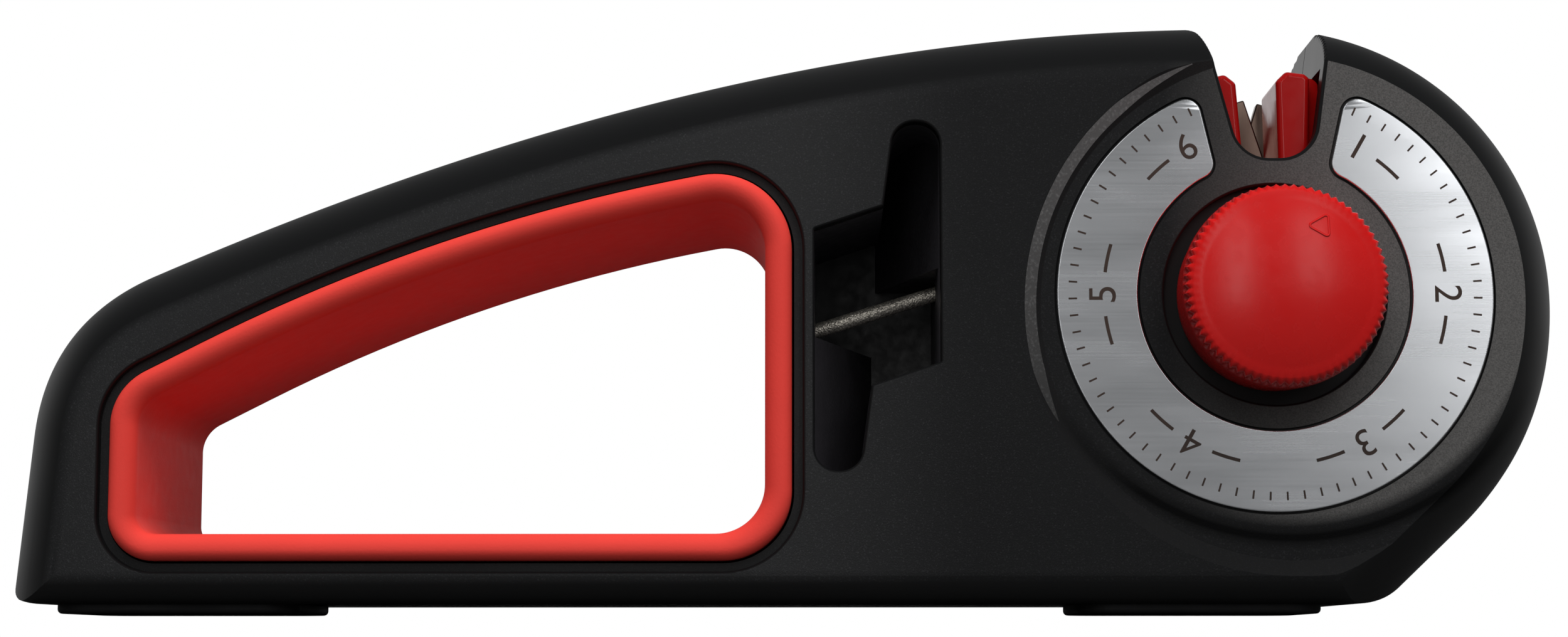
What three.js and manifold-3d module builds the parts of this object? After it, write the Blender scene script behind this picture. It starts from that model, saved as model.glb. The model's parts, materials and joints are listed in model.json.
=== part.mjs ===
// A hand-held sharpener for knives and scissors. A two-shell body holds a six-station turret that a knob
// turns. The top station shows in a notch, and a Z-shaped slot with one rod sharpens scissors.
// Millimetres. X runs along the body, Y from the front face to the rear, Z up from the feet.
import * as THREE from 'three';
import { mergeVertices } from 'three/addons/utils/BufferGeometryUtils.js';
import Module from 'manifold-3d';

const wasm = await Module();
wasm.setup();

// Clearances
const FIT = 0.3; // between pieces that seat on each other
const SLIP = 0.2; // round a pin, rod or screw
const RUN = 0.8; // round what turns

// Body
const LENGTH = 205;
const BODY_DEPTH = 40;
const WALL = 2.4;
const PARTING = 0.3; // seam between the shells
const EDGE_ROUND = 9; // reach of the soft edge over a face
const EDGE_DEPTH = 18; // reach of the soft edge round the side
const EDGE_STEPS = 3;
const BOTTOM_ROUND = 4;
const FOOT_PROUD = 1.2;
const UNDER_SPACE = 7.4; // between the turret and the bottom wall
const END_LEAN = THREE.MathUtils.degToRad(5.4);
const END_TOP = 23.6; // height where the left end starts to turn over
const END_CORNER = 6.5;
const SHOULDER_REACH = 17.5; // left end to the start of the back
const SHOULDER_HEIGHT = 45.8;
const SHOULDER_SLOPE = THREE.MathUtils.degToRad(23.6);
const BACK_EASE_LEFT = 83.6; // how long the back keeps the shoulder's slope
const BACK_EASE_HEAD = 24; // how long it stays level beside the head

// Turret
const TURRET_RADIUS = 30.2;
const STATIONS = 6;
const POST_WIDTH = 5.9;
const POST_TAPER = 1.2; // how much narrower a post's outer side is at the hub
const POST_CHAMFER = 1.4;
const VEE_TOP_GAP = 5.3;
const VEE_FLOOR_GAP = 1.8;
const VEE_FLOOR = 18.5; // radius where the gap between two posts ends
const VEE_RADIUS = 25.5; // radius where the crossed edges meet
const HUB_RADIUS = 16.5;
const POST_SETBACK = 2.2; // front wall to the front of the posts
const ABRASIVE_THICKNESS = 2.1;
const ABRASIVE_WIDTH = 3.5;
const TIP_SETBACK = 1.3; // abrasives end this far under the post tops
const HUB_GAP = 1.1; // and this far above the hub

// Head and notch
const HEAD_SPACE = 5.6; // between the turret and the wall
const HEAD_RADIUS = TURRET_RADIUS + HEAD_SPACE + WALL;
const HEAD_SHIFT = 0.6; // round of the head, right of the turret axis
const HEAD_DROP = 0.2; // and below it
const FLANK_OUT = 1; // how far the lower flank stands off the round of the head
const FLANK_TURN = THREE.MathUtils.degToRad(46.4);
const FLANK_CORNER = 6;
const NOTCH_FLOOR = 18; // radius of the notch floor from the turret axis
const NOTCH_ROUND = 4.8;
const NOTCH_LEFT = 4; // floor corners, left and right of the axis
const NOTCH_RIGHT = 5.3;
const NOTCH_LEFT_FLARE = THREE.MathUtils.degToRad(14.7);
const NOTCH_RIGHT_FLARE = THREE.MathUtils.degToRad(8);
const NOTCH_LIP_LEFT = 3;
const NOTCH_LIP_RIGHT = 1.2;
const NOTCH_CHEEK = 1.8; // wall that closes the shell beside the notch

// Dial
const DIAL_SINK = 0.8;
const DIAL_BORDER = 1.7; // flat dial face round the ring, up to the crescent step
const DIAL_STEP = 2.2; // width of that step
const DIAL_SHIFT = 3; // the step runs out towards the lower right
const DIAL_SHIFT_TURN = THREE.MathUtils.degToRad(-30);
const RING_OUTER = 28.3;
const RING_INNER = 17.8;
const RING_GAP = 7.4; // half width of the ring's gap at its inner edge
const RING_FLARE = THREE.MathUtils.degToRad(13);
const RING_CORNER = 2;
const RING_THICKNESS = 0.7;
const RING_SINK = 0.6;

// Knob and axle
const KNOB_PROUD = 12;
const KNOB_RADIUS = 12.95;
const SKIRT_STEP = 0.4; // skirt inside the roots of the knurl
const KNURL_COUNT = 84;
const KNURL_DEPTH = 0.35;
const KNOB_BAND = 4.7; // height of the knurled rim
const KNOB_DOME = 1.8;
const KNOB_COVER = 4.5; // solid front of the knob in front of the axle
const WELL_GAP = 1.45; // round the knob
const WELL_DEPTH = 2.2;
const BEARING_WALL = 2.6; // floor of the knob well
const BEARING_RIM = 2; // wall of the well behind the dial face
const AXLE_RADIUS = 3;
const AXLE_FLAT = 2.2; // distance of the flat from the axis
const WASHER_RADIUS = 7.5;
const WASHER_THICKNESS = 0.6;
const CLIP_RADIUS = 5.2;
const CLIP_THICKNESS = 0.6;
const CLIP_GAP = 4.2;
const GROOVE_DEPTH = 0.6;
const BEARING_RADIUS = 6.5;
const BEARING_LENGTH = 2.2; // rear bearing, inside the wall

// Detent
const DETENT_RADIUS = 11;
const DETENT_LENGTH = 2.6;
const DETENT_SCALLOP = 1.6;
const SCALLOP_OUT = 0.5; // middle of a scallop outside the detent ring
const LEAF_THICKNESS = 0.5;
const LEAF_WIDTH = 2;
const LEAF_REACH = 9; // free leaf past the nose
const LEAF_MOUNT = 18; // distance of its screw from the nose
const NOSE_RADIUS = 1.1;
const NOSE_SINK = 0.5; // how deep the nose sits in a scallop

// Handle opening
const GRIP_END = 14.9; // left end of the body to the liner
const GRIP_LIFT = 1.9; // liner's flange over the bottom wall
const GRIP_LEFT_TOP = 29.1;
const GRIP_CROWN = 50.5;
const GRIP_CROWN_REACH = 42.2;
const GRIP_RIGHT_TOP = 59.2;
const GRIP_WALL = 3.5;
const GRIP_PROUD = 0.8;
const GRIP_BEAD = 1.4;
const GRIP_GROOVE = 1.4;
const GRIP_GROOVE_DEPTH = 1.5;
const GRIP_FLANGE = 1.2;
const GRIP_FLANGE_HALF = 1.5;
const COLLAR = 1.2; // ribs that hold the liner's flange
const GRIP_ROUNDS = { bottomLeft: 6, bottomRight: 9, topRight: 10, crown: 240, topLeft: 8 };

// Scissor slot
const SLOT_TO_TURRET = 12.4;
const LAND_SPARE = 0.15;
const SLOT_HALF_WIDTH = 8.2;
const SLOT_HALF_HEIGHT = 22.85;
const SLOT_DROP = 0.1; // middle of the slot below the turret axis
const SLOT_END_WIDTH = 5.9;
const SLOT_END = 3; // radius of the slot's ends
const SLOT_KNEE_OFFSET = 0.8;
const SLOT_KNEE_HEIGHT = 11.7;
const SLOT_SHOULDER = 8.7;
const GUIDE_WALL = 1;
const GUIDE_FLOOR = 1.6;
const RAMP_CLEAR = 4.6; // ramps stop this far from the middle of the rod
const RAMP_START = 2; // depth of a ramp's front edge in the guide
const ROD_RADIUS = 1.2;
const ROD_TILT = THREE.MathUtils.degToRad(17.4);

// Screws
const SCREW_RADIUS = 1.4;
const SCREW_HEAD_RADIUS = 2.6;
const SCREW_HEAD = 2;
const SCREW_REACH = 12; // reach into the front shell
const BOSS_RADIUS = 3.4;
const BOSS_SPACE = 1.2; // round a boss
const HEAD_SINK = 3; // screw head below the rear face
const PILOT_SPARE = 1.5;
const TURRET_SCREW_CIRCLE = 7.4;
const TURRET_SCREW_COUNT = 3;
const TURRET_SCREW_RADIUS = 1.1;
const TURRET_SCREW_HEAD = 2;
const TURRET_SCREW_HEAD_HEIGHT = 1.5;
const TURRET_SCREW_REACH = 8;
const SLOT_CUT = 0.7; // screwdriver slot width and depth
const SLOT_SPAN = 0.7; // its length, as a share of the head

// Feet
const PAD_LENGTH = 32;
const PAD_WIDTH = 31;
const PAD_CORNER = 5;
const PAD_THICKNESS = 2;
const PAD_LEFT_END = 6.5; // left end of the body to the left pad
const PAD_RIGHT_SHIFT = 9.5; // right pad's middle, left of the turret axis

// Facet counts
const CURVE_STEPS = 8;
const DOME_STEPS = 4;
const ROUND_SIDES = 32;
const BORE_SIDES = 16;
const SMALL_SIDES = 10;
const CHORD_ERROR = 0.12; // how far a chord may leave a rounded corner
const OVER = 1; // how far a cutter runs past what it cuts
const WELD = 1e-4;
const SAME_POINT = 1e-3;

// Places that follow from the sizes
const HALF = BODY_DEPTH / 2;
const INNER = HALF - WALL;
const AXIS_X = LENGTH / 2 - HEAD_RADIUS - HEAD_SHIFT;
const AXIS_Z = FOOT_PROUD + WALL + UNDER_SPACE + TURRET_RADIUS;
const HEIGHT = AXIS_Z - HEAD_DROP + HEAD_RADIUS;
const KNOB_SKIRT = KNOB_RADIUS - KNURL_DEPTH - SKIRT_STEP;
const WELL_RADIUS = KNOB_RADIUS + WELL_GAP;
const DIAL_RADIUS = RING_OUTER + DIAL_BORDER;
const DIAL_FACE = -HALF + DIAL_SINK;
const WELL_FLOOR = DIAL_FACE + WELL_DEPTH;
const BEARING_FACE = WELL_FLOOR + BEARING_WALL;
const POST_FRONT = -INNER + POST_SETBACK;
const HUB_FRONT = BEARING_FACE + FIT + WASHER_THICKNESS + FIT;
const CLIP_BACK = INNER - BEARING_LENGTH - FIT;
const CLIP_FRONT = CLIP_BACK - CLIP_THICKNESS;
const DETENT_BACK = CLIP_FRONT - FIT;
const TURRET_BACK = DETENT_BACK - DETENT_LENGTH;
const SLOT_CENTRE = AXIS_Z - SLOT_DROP;
const SLOT_X = AXIS_X - TURRET_RADIUS - RUN - SLOT_TO_TURRET - SLOT_HALF_WIDTH;
const SLOT_LAND = FIT + COLLAR + LAND_SPARE + FIT + GUIDE_WALL; // body between the liner and the slot
const GRIP_BOTTOM = FOOT_PROUD + WALL + GRIP_LIFT + GRIP_FLANGE;
const GRIP_LEFT = -LENGTH / 2 + GRIP_END;
const GRIP_RIGHT = SLOT_X - SLOT_HALF_WIDTH - SLOT_LAND;
const STATION_TURN = (2 * Math.PI) / STATIONS;

const charcoal = material(0x1b1c1e, 0.55, 0);
const black = material(0x0d0d0e, 0.6, 0);
const red = material(0xb3161a, 0.4, 0);
const aluminium = material(0xc2c5ca, 0.3, 1);
const steel = material(0x9a9da1, 0.35, 1);
const carbide = material(0x6f6a64, 0.45, 1);
const diamond = material(0x8d8a80, 0.75, 0.6);
const ceramic = material(0xe9e6dd, 0.5, 0);
const rubber = material(0x161617, 0.9, 0);

function material(color, roughness, metalness) {
  return new THREE.MeshStandardMaterial({ color, roughness, metalness });
}

function point(x, y) {
  return new THREE.Vector2(x, y);
}

function polar(radius, turn) {
  return point(radius * Math.cos(turn), radius * Math.sin(turn));
}

// Six times the volume that the triangles enclose, below zero where they face inwards.
function signedVolume(positions, triangles) {
  const a = new THREE.Vector3();
  const b = new THREE.Vector3();
  const c = new THREE.Vector3();
  let sum = 0;
  for (let i = 0; i < triangles.length; i += 3) {
    a.fromArray(positions, 3 * triangles[i]);
    b.fromArray(positions, 3 * triangles[i + 1]);
    c.fromArray(positions, 3 * triangles[i + 2]);
    sum += a.dot(b.cross(c));
  }
  return sum;
}

// A closed geometry as a solid for joining and cutting: welded, without flat triangles, facing out.
function solidOf(geometry) {
  geometry.deleteAttribute('normal');
  geometry.deleteAttribute('uv');
  const welded = mergeVertices(geometry, WELD);
  const positions = new Float32Array(welded.attributes.position.array);
  const triangles = [];
  const index = welded.index.array;
  for (let i = 0; i < index.length; i += 3) {
    const [a, b, c] = [index[i], index[i + 1], index[i + 2]];
    if (a !== b && b !== c && c !== a) triangles.push(a, b, c);
  }
  if (signedVolume(positions, triangles) < 0) triangles.reverse();
  const triVerts = new Uint32Array(triangles);
  return new wasm.Manifold(new wasm.Mesh({ numProp: 3, vertProperties: positions, triVerts }));
}

function geometryOf(solid) {
  const mesh = solid.getMesh();
  const geometry = new THREE.BufferGeometry();
  geometry.setAttribute('position', new THREE.BufferAttribute(mesh.vertProperties, 3));
  geometry.setIndex(new THREE.BufferAttribute(mesh.triVerts, 1));
  geometry.computeVertexNormals();
  return geometry;
}

function joined(solids) {
  return solids.reduce((sum, next) => sum.add(next));
}

function cut(solid, cutters) {
  return cutters.reduce((rest, cutter) => rest.subtract(cutter), solid);
}

// An outline without the points that two neighbouring curves share.
function tidied(outline) {
  return outline.filter((p, i) => p.distanceTo(outline[(i + 1) % outline.length]) > SAME_POINT);
}

function shapeOf(outline, holes) {
  const shape = new THREE.Shape(tidied(outline));
  for (const hole of holes) shape.holes.push(new THREE.Path(tidied(hole)));
  return shape;
}

// An X-Z outline carried along Y from y0 to y1. A rounded edge reaches `size` over the end faces and
// `depth` along the sides, and `inset` draws the whole outline in.
function plate(outline, y0, y1, edge = null, holes = []) {
  const length = y1 - y0;
  const shape = shapeOf(outline, holes);
  const depth = edge ? edge.depth : 0;
  const geometry = new THREE.ExtrudeGeometry(shape, {
    depth: length - 2 * depth,
    curveSegments: CURVE_STEPS,
    bevelEnabled: edge !== null,
    bevelSize: edge ? edge.size : 0,
    bevelThickness: depth,
    bevelOffset: edge ? -edge.size - (edge.inset ?? 0) : 0,
    bevelSegments: edge ? edge.steps : 1,
  });
  geometry.rotateX(Math.PI / 2);
  geometry.translate(0, y1 - depth, 0);
  return solidOf(geometry);
}

// An X-Y outline carried up from z0 to z1.
function tower(outline, z0, z1) {
  const geometry = new THREE.ExtrudeGeometry(shapeOf(outline, []), { depth: z1 - z0, bevelEnabled: false });
  geometry.translate(0, 0, z0);
  return solidOf(geometry);
}

// A round along Y, from radius r0 at y0 to r1 at y1.
function round(x, z, y0, y1, r0, r1 = r0, sides = BORE_SIDES) {
  const geometry = new THREE.CylinderGeometry(r1, r0, y1 - y0, sides);
  geometry.translate(x, (y0 + y1) / 2, z);
  return solidOf(geometry);
}

// A pin, boss or hole along Y with few sides.
function smallRound(place, y0, y1, radius) {
  return round(place.x, place.y, y0, y1, radius, radius, SMALL_SIDES);
}

// A profile of (radius, y) points turned about the Y axis. It starts and ends on the axis.
function turned(profile, sides = ROUND_SIDES) {
  return solidOf(new THREE.LatheGeometry(profile, sides));
}

function box(x0, x1, y0, y1, z0, z1) {
  const geometry = new THREE.BoxGeometry(x1 - x0, y1 - y0, z1 - z0);
  geometry.translate((x0 + x1) / 2, (y0 + y1) / 2, (z0 + z1) / 2);
  return solidOf(geometry);
}

// Half of the angle that a corner of an outline encloses.
function halfAngle(before, corner, after) {
  const back = before.clone().sub(corner).normalize();
  const ahead = after.clone().sub(corner).normalize();
  return Math.acos(THREE.MathUtils.clamp(back.dot(ahead), -1, 1)) / 2;
}

// A closed outline whose corners [x, y, radius] are rounded by arcs that touch both sides.
function rounded(corners) {
  const outline = [];
  corners.forEach(([x, y, radius], i) => {
    const corner = point(x, y);
    const [px, py] = corners[(i + corners.length - 1) % corners.length];
    const [nx, ny] = corners[(i + 1) % corners.length];
    if (!radius) {
      outline.push(corner);
      return;
    }
    const back = point(px, py).sub(corner).normalize();
    const ahead = point(nx, ny).sub(corner).normalize();
    const half = halfAngle(point(px, py), corner, point(nx, ny));
    const setback = radius / Math.tan(half);
    const middle = back.clone().add(ahead).setLength(radius / Math.sin(half)).add(corner);
    const start = corner.clone().addScaledVector(back, setback).sub(middle);
    const turn = Math.sign(back.cross(ahead)) * (Math.PI - 2 * half);
    const stepTurn = 2 * Math.acos(1 - CHORD_ERROR / radius);
    const steps = Math.max(2, Math.ceil(Math.abs(turn) / stepTurn));
    for (let k = 0; k <= steps; k += 1) {
      const place = start.clone().rotateAround(point(0, 0), (-turn * k) / steps);
      outline.push(place.add(middle));
    }
  });
  return tidied(outline);
}

// The same outline moved out by a distance, or in where the distance is below zero.
function grown(outline, distance) {
  const sense = THREE.ShapeUtils.isClockWise(outline) ? -1 : 1;
  return outline.map((corner, i) => {
    const before = outline[(i + outline.length - 1) % outline.length];
    const after = outline[(i + 1) % outline.length];
    const a = corner.clone().sub(before).normalize();
    const b = after.clone().sub(corner).normalize();
    const out = point(a.y + b.y, -a.x - b.x).normalize();
    const stretch = out.dot(point(a.y, -a.x));
    return corner.clone().addScaledVector(out, (sense * distance) / stretch);
  });
}

function flipped(outline) {
  return outline.map((p) => point(-p.x, p.y));
}

function moved(outline, x, z) {
  return outline.map((p) => point(p.x + x, p.y + z));
}

// Where two lines, each a place and a direction, cross.
function crossing(p, along, q, beside) {
  const reach = q.clone().sub(p).cross(beside) / along.cross(beside);
  return p.clone().addScaledVector(along, reach);
}

// Body

const endDirection = polar(1, Math.PI / 2 - END_LEAN);
const flankNormal = polar(1, -FLANK_TURN);
const flankDirection = point(flankNormal.y, -flankNormal.x);
const head = point(AXIS_X + HEAD_SHIFT, AXIS_Z - HEAD_DROP);
const flankPlace = head.clone().addScaledVector(flankNormal, HEAD_RADIUS + FLANK_OUT);

function endAt(height) {
  const widest = point(-LENGTH / 2, FOOT_PROUD + END_CORNER);
  return crossing(widest, endDirection, point(0, height), point(1, 0));
}

function flankAt(height) {
  return crossing(flankPlace, flankDirection, point(0, height), point(1, 0));
}

// The side view of the body, run on below the feet so that its soft edge ends under the bottom.
function bodyOutline() {
  const below = FOOT_PROUD - EDGE_ROUND - OVER;
  const shape = new THREE.Shape();
  const low = endAt(below);
  const high = endAt(END_TOP);
  const shoulder = point(-LENGTH / 2 + SHOULDER_REACH, SHOULDER_HEIGHT);
  const slope = polar(1, SHOULDER_SLOPE);
  const turnOver = crossing(high, endDirection, shoulder, slope);
  const ease = shoulder.clone().addScaledVector(slope, BACK_EASE_LEFT);
  shape.moveTo(low.x, low.y);
  shape.lineTo(high.x, high.y);
  shape.quadraticCurveTo(turnOver.x, turnOver.y, shoulder.x, shoulder.y);
  shape.bezierCurveTo(ease.x, ease.y, head.x - BACK_EASE_HEAD, HEIGHT, head.x, HEIGHT);
  shape.absarc(head.x, head.y, HEAD_RADIUS, Math.PI / 2, 0, true);
  const knee = crossing(flankPlace, flankDirection, point(LENGTH / 2, 0), point(0, 1));
  const flank = knee.clone().addScaledVector(flankDirection, head.y - knee.y);
  shape.quadraticCurveTo(knee.x, knee.y, flank.x, flank.y);
  const end = flankAt(below);
  shape.lineTo(end.x, end.y);
  return shape.getPoints(CURVE_STEPS).reverse();
}

// What the bottom leaves of the body: a level underside with rounded ends.
function bottomOutline(inset) {
  const level = FOOT_PROUD + inset;
  const left = endAt(level);
  const leftUp = endAt(level + END_CORNER);
  const right = flankAt(level);
  const rightUp = right.clone().addScaledVector(flankDirection, -FLANK_CORNER);
  const shape = new THREE.Shape();
  shape.moveTo(leftUp.x, leftUp.y);
  shape.quadraticCurveTo(left.x, left.y, left.x + END_CORNER, left.y);
  shape.lineTo(right.x - FLANK_CORNER, right.y);
  shape.quadraticCurveTo(right.x, right.y, rightUp.x, rightUp.y);
  shape.lineTo(LENGTH, rightUp.y);
  shape.lineTo(LENGTH, 2 * HEIGHT);
  shape.lineTo(-LENGTH, 2 * HEIGHT);
  shape.lineTo(-LENGTH, leftUp.y);
  return shape.getPoints(CURVE_STEPS);
}

// How far an outline can be drawn in before its shortest side is used up.
function inwardRoom(outline) {
  const corners = tidied(outline);
  const count = corners.length;
  const turns = corners.map((corner, i) => (
    Math.PI / 2 - halfAngle(corners[(i + count - 1) % count], corner, corners[(i + 1) % count])
  ));
  const rooms = corners.map((corner, i) => {
    const next = (i + 1) % count;
    return corner.distanceTo(corners[next]) / (Math.tan(turns[i]) + Math.tan(turns[next]));
  });
  return Math.min(...rooms);
}

function bodyForm(inset) {
  const depth = HALF - inset;
  const outline = bodyOutline();
  const reach = Math.min(EDGE_ROUND, inwardRoom(outline) - SLIP);
  const softEdge = { size: reach - inset, depth: EDGE_DEPTH - inset, steps: EDGE_STEPS, inset };
  const bottom = bottomOutline(inset);
  const low = Math.min(BOTTOM_ROUND, inwardRoom(bottom) - SLIP);
  const upper = plate(outline, -depth, depth, softEdge);
  return upper.intersect(plate(bottom, -depth, depth, { size: low, depth: low, steps: EDGE_STEPS }));
}

// The liner's crown is rounded as far as the corners beside it leave room.
function crownRound() {
  const crown = point(GRIP_LEFT + GRIP_CROWN_REACH, GRIP_CROWN);
  const left = point(GRIP_LEFT, GRIP_LEFT_TOP);
  const right = point(GRIP_RIGHT, GRIP_RIGHT_TOP);
  const leftSetback = GRIP_ROUNDS.topLeft / Math.tan(halfAngle(crown, left, point(GRIP_LEFT, GRIP_BOTTOM)));
  const rightSetback = GRIP_ROUNDS.topRight / Math.tan(halfAngle(crown, right, point(GRIP_RIGHT, GRIP_BOTTOM)));
  const room = Math.min(crown.distanceTo(left) - leftSetback, crown.distanceTo(right) - rightSetback);
  return Math.min(GRIP_ROUNDS.crown, room * Math.tan(halfAngle(left, crown, right)));
}

function gripOutline() {
  return rounded([
    [GRIP_LEFT, GRIP_BOTTOM, GRIP_ROUNDS.bottomLeft],
    [GRIP_RIGHT, GRIP_BOTTOM, GRIP_ROUNDS.bottomRight],
    [GRIP_RIGHT, GRIP_RIGHT_TOP, GRIP_ROUNDS.topRight],
    [GRIP_LEFT + GRIP_CROWN_REACH, GRIP_CROWN, crownRound()],
    [GRIP_LEFT, GRIP_LEFT_TOP, GRIP_ROUNDS.topLeft],
  ]);
}

// Height of the liner's upper side, before its corners are rounded.
function gripTopAt(x) {
  const crown = GRIP_LEFT + GRIP_CROWN_REACH;
  if (x < crown) return THREE.MathUtils.mapLinear(x, GRIP_LEFT, crown, GRIP_LEFT_TOP, GRIP_CROWN);
  return THREE.MathUtils.mapLinear(x, crown, GRIP_RIGHT, GRIP_CROWN, GRIP_RIGHT_TOP);
}

// One side of the slot's outline, about its middle, and the same side turned by half a turn.
// Its ends are rounded as far as their width allows.
function slotOutline() {
  const end = point(SLOT_END_WIDTH - SLOT_HALF_WIDTH, -SLOT_HALF_HEIGHT);
  const half = halfAngle(point(-SLOT_HALF_WIDTH, end.y), end, point(-SLOT_KNEE_OFFSET, -SLOT_KNEE_HEIGHT));
  const endRound = Math.min(SLOT_END, (SLOT_END_WIDTH - SLIP) / (1 + 1 / Math.tan(half)));
  const side = [
    [-SLOT_HALF_WIDTH, SLOT_SHOULDER, 0],
    [-SLOT_HALF_WIDTH, end.y, endRound],
    [end.x, end.y, endRound],
    [-SLOT_KNEE_OFFSET, -SLOT_KNEE_HEIGHT, 0],
  ];
  const other = side.map(([x, z, r]) => [-x, -z, r]);
  return moved(rounded([...side, ...other]), SLOT_X, SLOT_CENTRE);
}

// The notch, or with a distance to grow by, the outer side of the walls that line it.
function notchOutline(grow) {
  const floor = AXIS_Z + NOTCH_FLOOR - grow;
  const top = HEIGHT + FIT;
  const sideAt = (corner, flare, height) => (
    corner + grow / Math.cos(flare) + (height - AXIS_Z - NOTCH_FLOOR) * Math.tan(flare)
  );
  const leftAt = (height) => AXIS_X - sideAt(NOTCH_LEFT, NOTCH_LEFT_FLARE, height);
  const rightAt = (height) => AXIS_X + sideAt(NOTCH_RIGHT, NOTCH_RIGHT_FLARE, height);
  const left = leftAt(top) - 2 * NOTCH_ROUND;
  const right = rightAt(top) + 2 * NOTCH_ROUND;
  const sky = top + 2 * NOTCH_ROUND;
  return rounded([
    [leftAt(floor), floor, NOTCH_ROUND + grow],
    [rightAt(floor), floor, NOTCH_ROUND + grow],
    [rightAt(top), top, grow ? 0 : NOTCH_LIP_RIGHT],
    [right, top, 0],
    [right, sky, 0],
    [left, sky, 0],
    [left, top, 0],
    [leftAt(top), top, grow ? 0 : NOTCH_LIP_LEFT],
  ]);
}

// The C-shaped scale plate about the turret axis: two arcs that stop at the flared sides of its gap.
function ringOutline(grow) {
  const along = polar(1, Math.PI / 2 - RING_FLARE);
  const gap = point(RING_GAP - grow, Math.sqrt(RING_INNER ** 2 - RING_GAP ** 2));
  const turnAt = (radius) => {
    const reach = -gap.dot(along) + Math.sqrt(gap.dot(along) ** 2 - gap.lengthSq() + radius ** 2);
    return gap.clone().addScaledVector(along, reach).angle();
  };
  const arc = (radius) => Array.from({ length: ROUND_SIDES + 1 }, (_, k) => {
    const end = turnAt(radius);
    const place = polar(radius, THREE.MathUtils.lerp(Math.PI - end, 2 * Math.PI + end, k / ROUND_SIDES));
    return [place.x, place.y, k % ROUND_SIDES ? 0 : RING_CORNER];
  });
  return rounded([...arc(RING_OUTER + grow), ...arc(RING_INNER - grow).reverse()]);
}

function padOutline(middle, grow) {
  const x = PAD_LENGTH / 2 + grow;
  const y = PAD_WIDTH / 2 + grow;
  const r = PAD_CORNER + grow;
  return moved(rounded([[-x, -y, r], [x, -y, r], [x, y, r], [-x, y, r]]), middle, 0);
}

const padMiddles = [
  ['foot_pad_left', -LENGTH / 2 + PAD_LEFT_END + PAD_LENGTH / 2],
  ['foot_pad_right', AXIS_X - PAD_RIGHT_SHIFT],
];
const padTop = PAD_THICKNESS;

// Six screws: one in the end, two in the back over the handle, two beside the slot, one under the turret.
function screwPlaces() {
  const seat = FIT + COLLAR + BOSS_RADIUS + BOSS_SPACE;
  const besideSlot = SLOT_X + SLOT_HALF_WIDTH + GUIDE_WALL + FIT + BOSS_RADIUS + 2 * BOSS_SPACE;
  const low = FOOT_PROUD + WALL + BOSS_RADIUS + BOSS_SPACE;
  const backLeft = GRIP_LEFT + GRIP_CROWN_REACH / 2;
  const backRight = GRIP_RIGHT - GRIP_CROWN_REACH / 2;
  const underX = AXIS_X - Math.sqrt((TURRET_RADIUS + RUN + BOSS_RADIUS) ** 2 - (AXIS_Z - low) ** 2);
  return [
    point(GRIP_LEFT - seat, (GRIP_BOTTOM + GRIP_LEFT_TOP) / 2),
    point(backLeft, gripTopAt(backLeft) + seat),
    point(backRight, gripTopAt(backRight) + seat),
    point(besideSlot, SLOT_CENTRE + SLOT_HALF_HEIGHT + GUIDE_WALL + BOSS_RADIUS),
    point(besideSlot, low),
    point(underX, low),
  ];
}

const outerForm = bodyForm(0);
const cavity = bodyForm(WALL);
const grip = gripOutline();
const slot = slotOutline();
const notch = notchOutline(0);
const turretRoom = round(AXIS_X, AXIS_Z, POST_FRONT - RUN, -POST_FRONT + RUN, TURRET_RADIUS + RUN,
  TURRET_RADIUS + RUN, ROUND_SIDES);

// What both shells share: the hollow form, the ribs round the liner, the walls beside the notch and the
// screw bosses, with the openings cut through.
function shellForm() {
  const ribs = plate(grown(grip, FIT + COLLAR), -INNER - OVER, INNER + OVER, null, [grown(grip, FIT)]);
  const ribGap = GRIP_FLANGE_HALF + FIT;
  const flangeRoom = plate(grown(grip, FIT + COLLAR + OVER), -ribGap, ribGap);
  const cheeks = plate(notchOutline(NOTCH_CHEEK), -INNER - OVER, INNER + OVER).subtract(turretRoom);
  const bosses = screwPlaces().map((p) => smallRound(p, -INNER - OVER, INNER + OVER, BOSS_RADIUS));
  const hollow = outerForm.subtract(cavity).subtract(turretRoom);
  const inside = joined([ribs.subtract(flangeRoom), cheeks, ...bosses]).intersect(bodyForm(WALL / 2));
  const groove = grown(grip, GRIP_GROOVE);
  return cut(hollow.add(inside), [
    plate(grown(grip, FIT), -BODY_DEPTH, BODY_DEPTH),
    plate(groove, -BODY_DEPTH, -HALF + GRIP_GROOVE_DEPTH),
    plate(groove, HALF - GRIP_GROOVE_DEPTH, BODY_DEPTH),
    plate(notch, -BODY_DEPTH, BODY_DEPTH),
    ...padMiddles.map(([, x]) => tower(padOutline(x, FIT), -OVER, padTop + SLIP)),
  ]);
}

const shells = shellForm();

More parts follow.
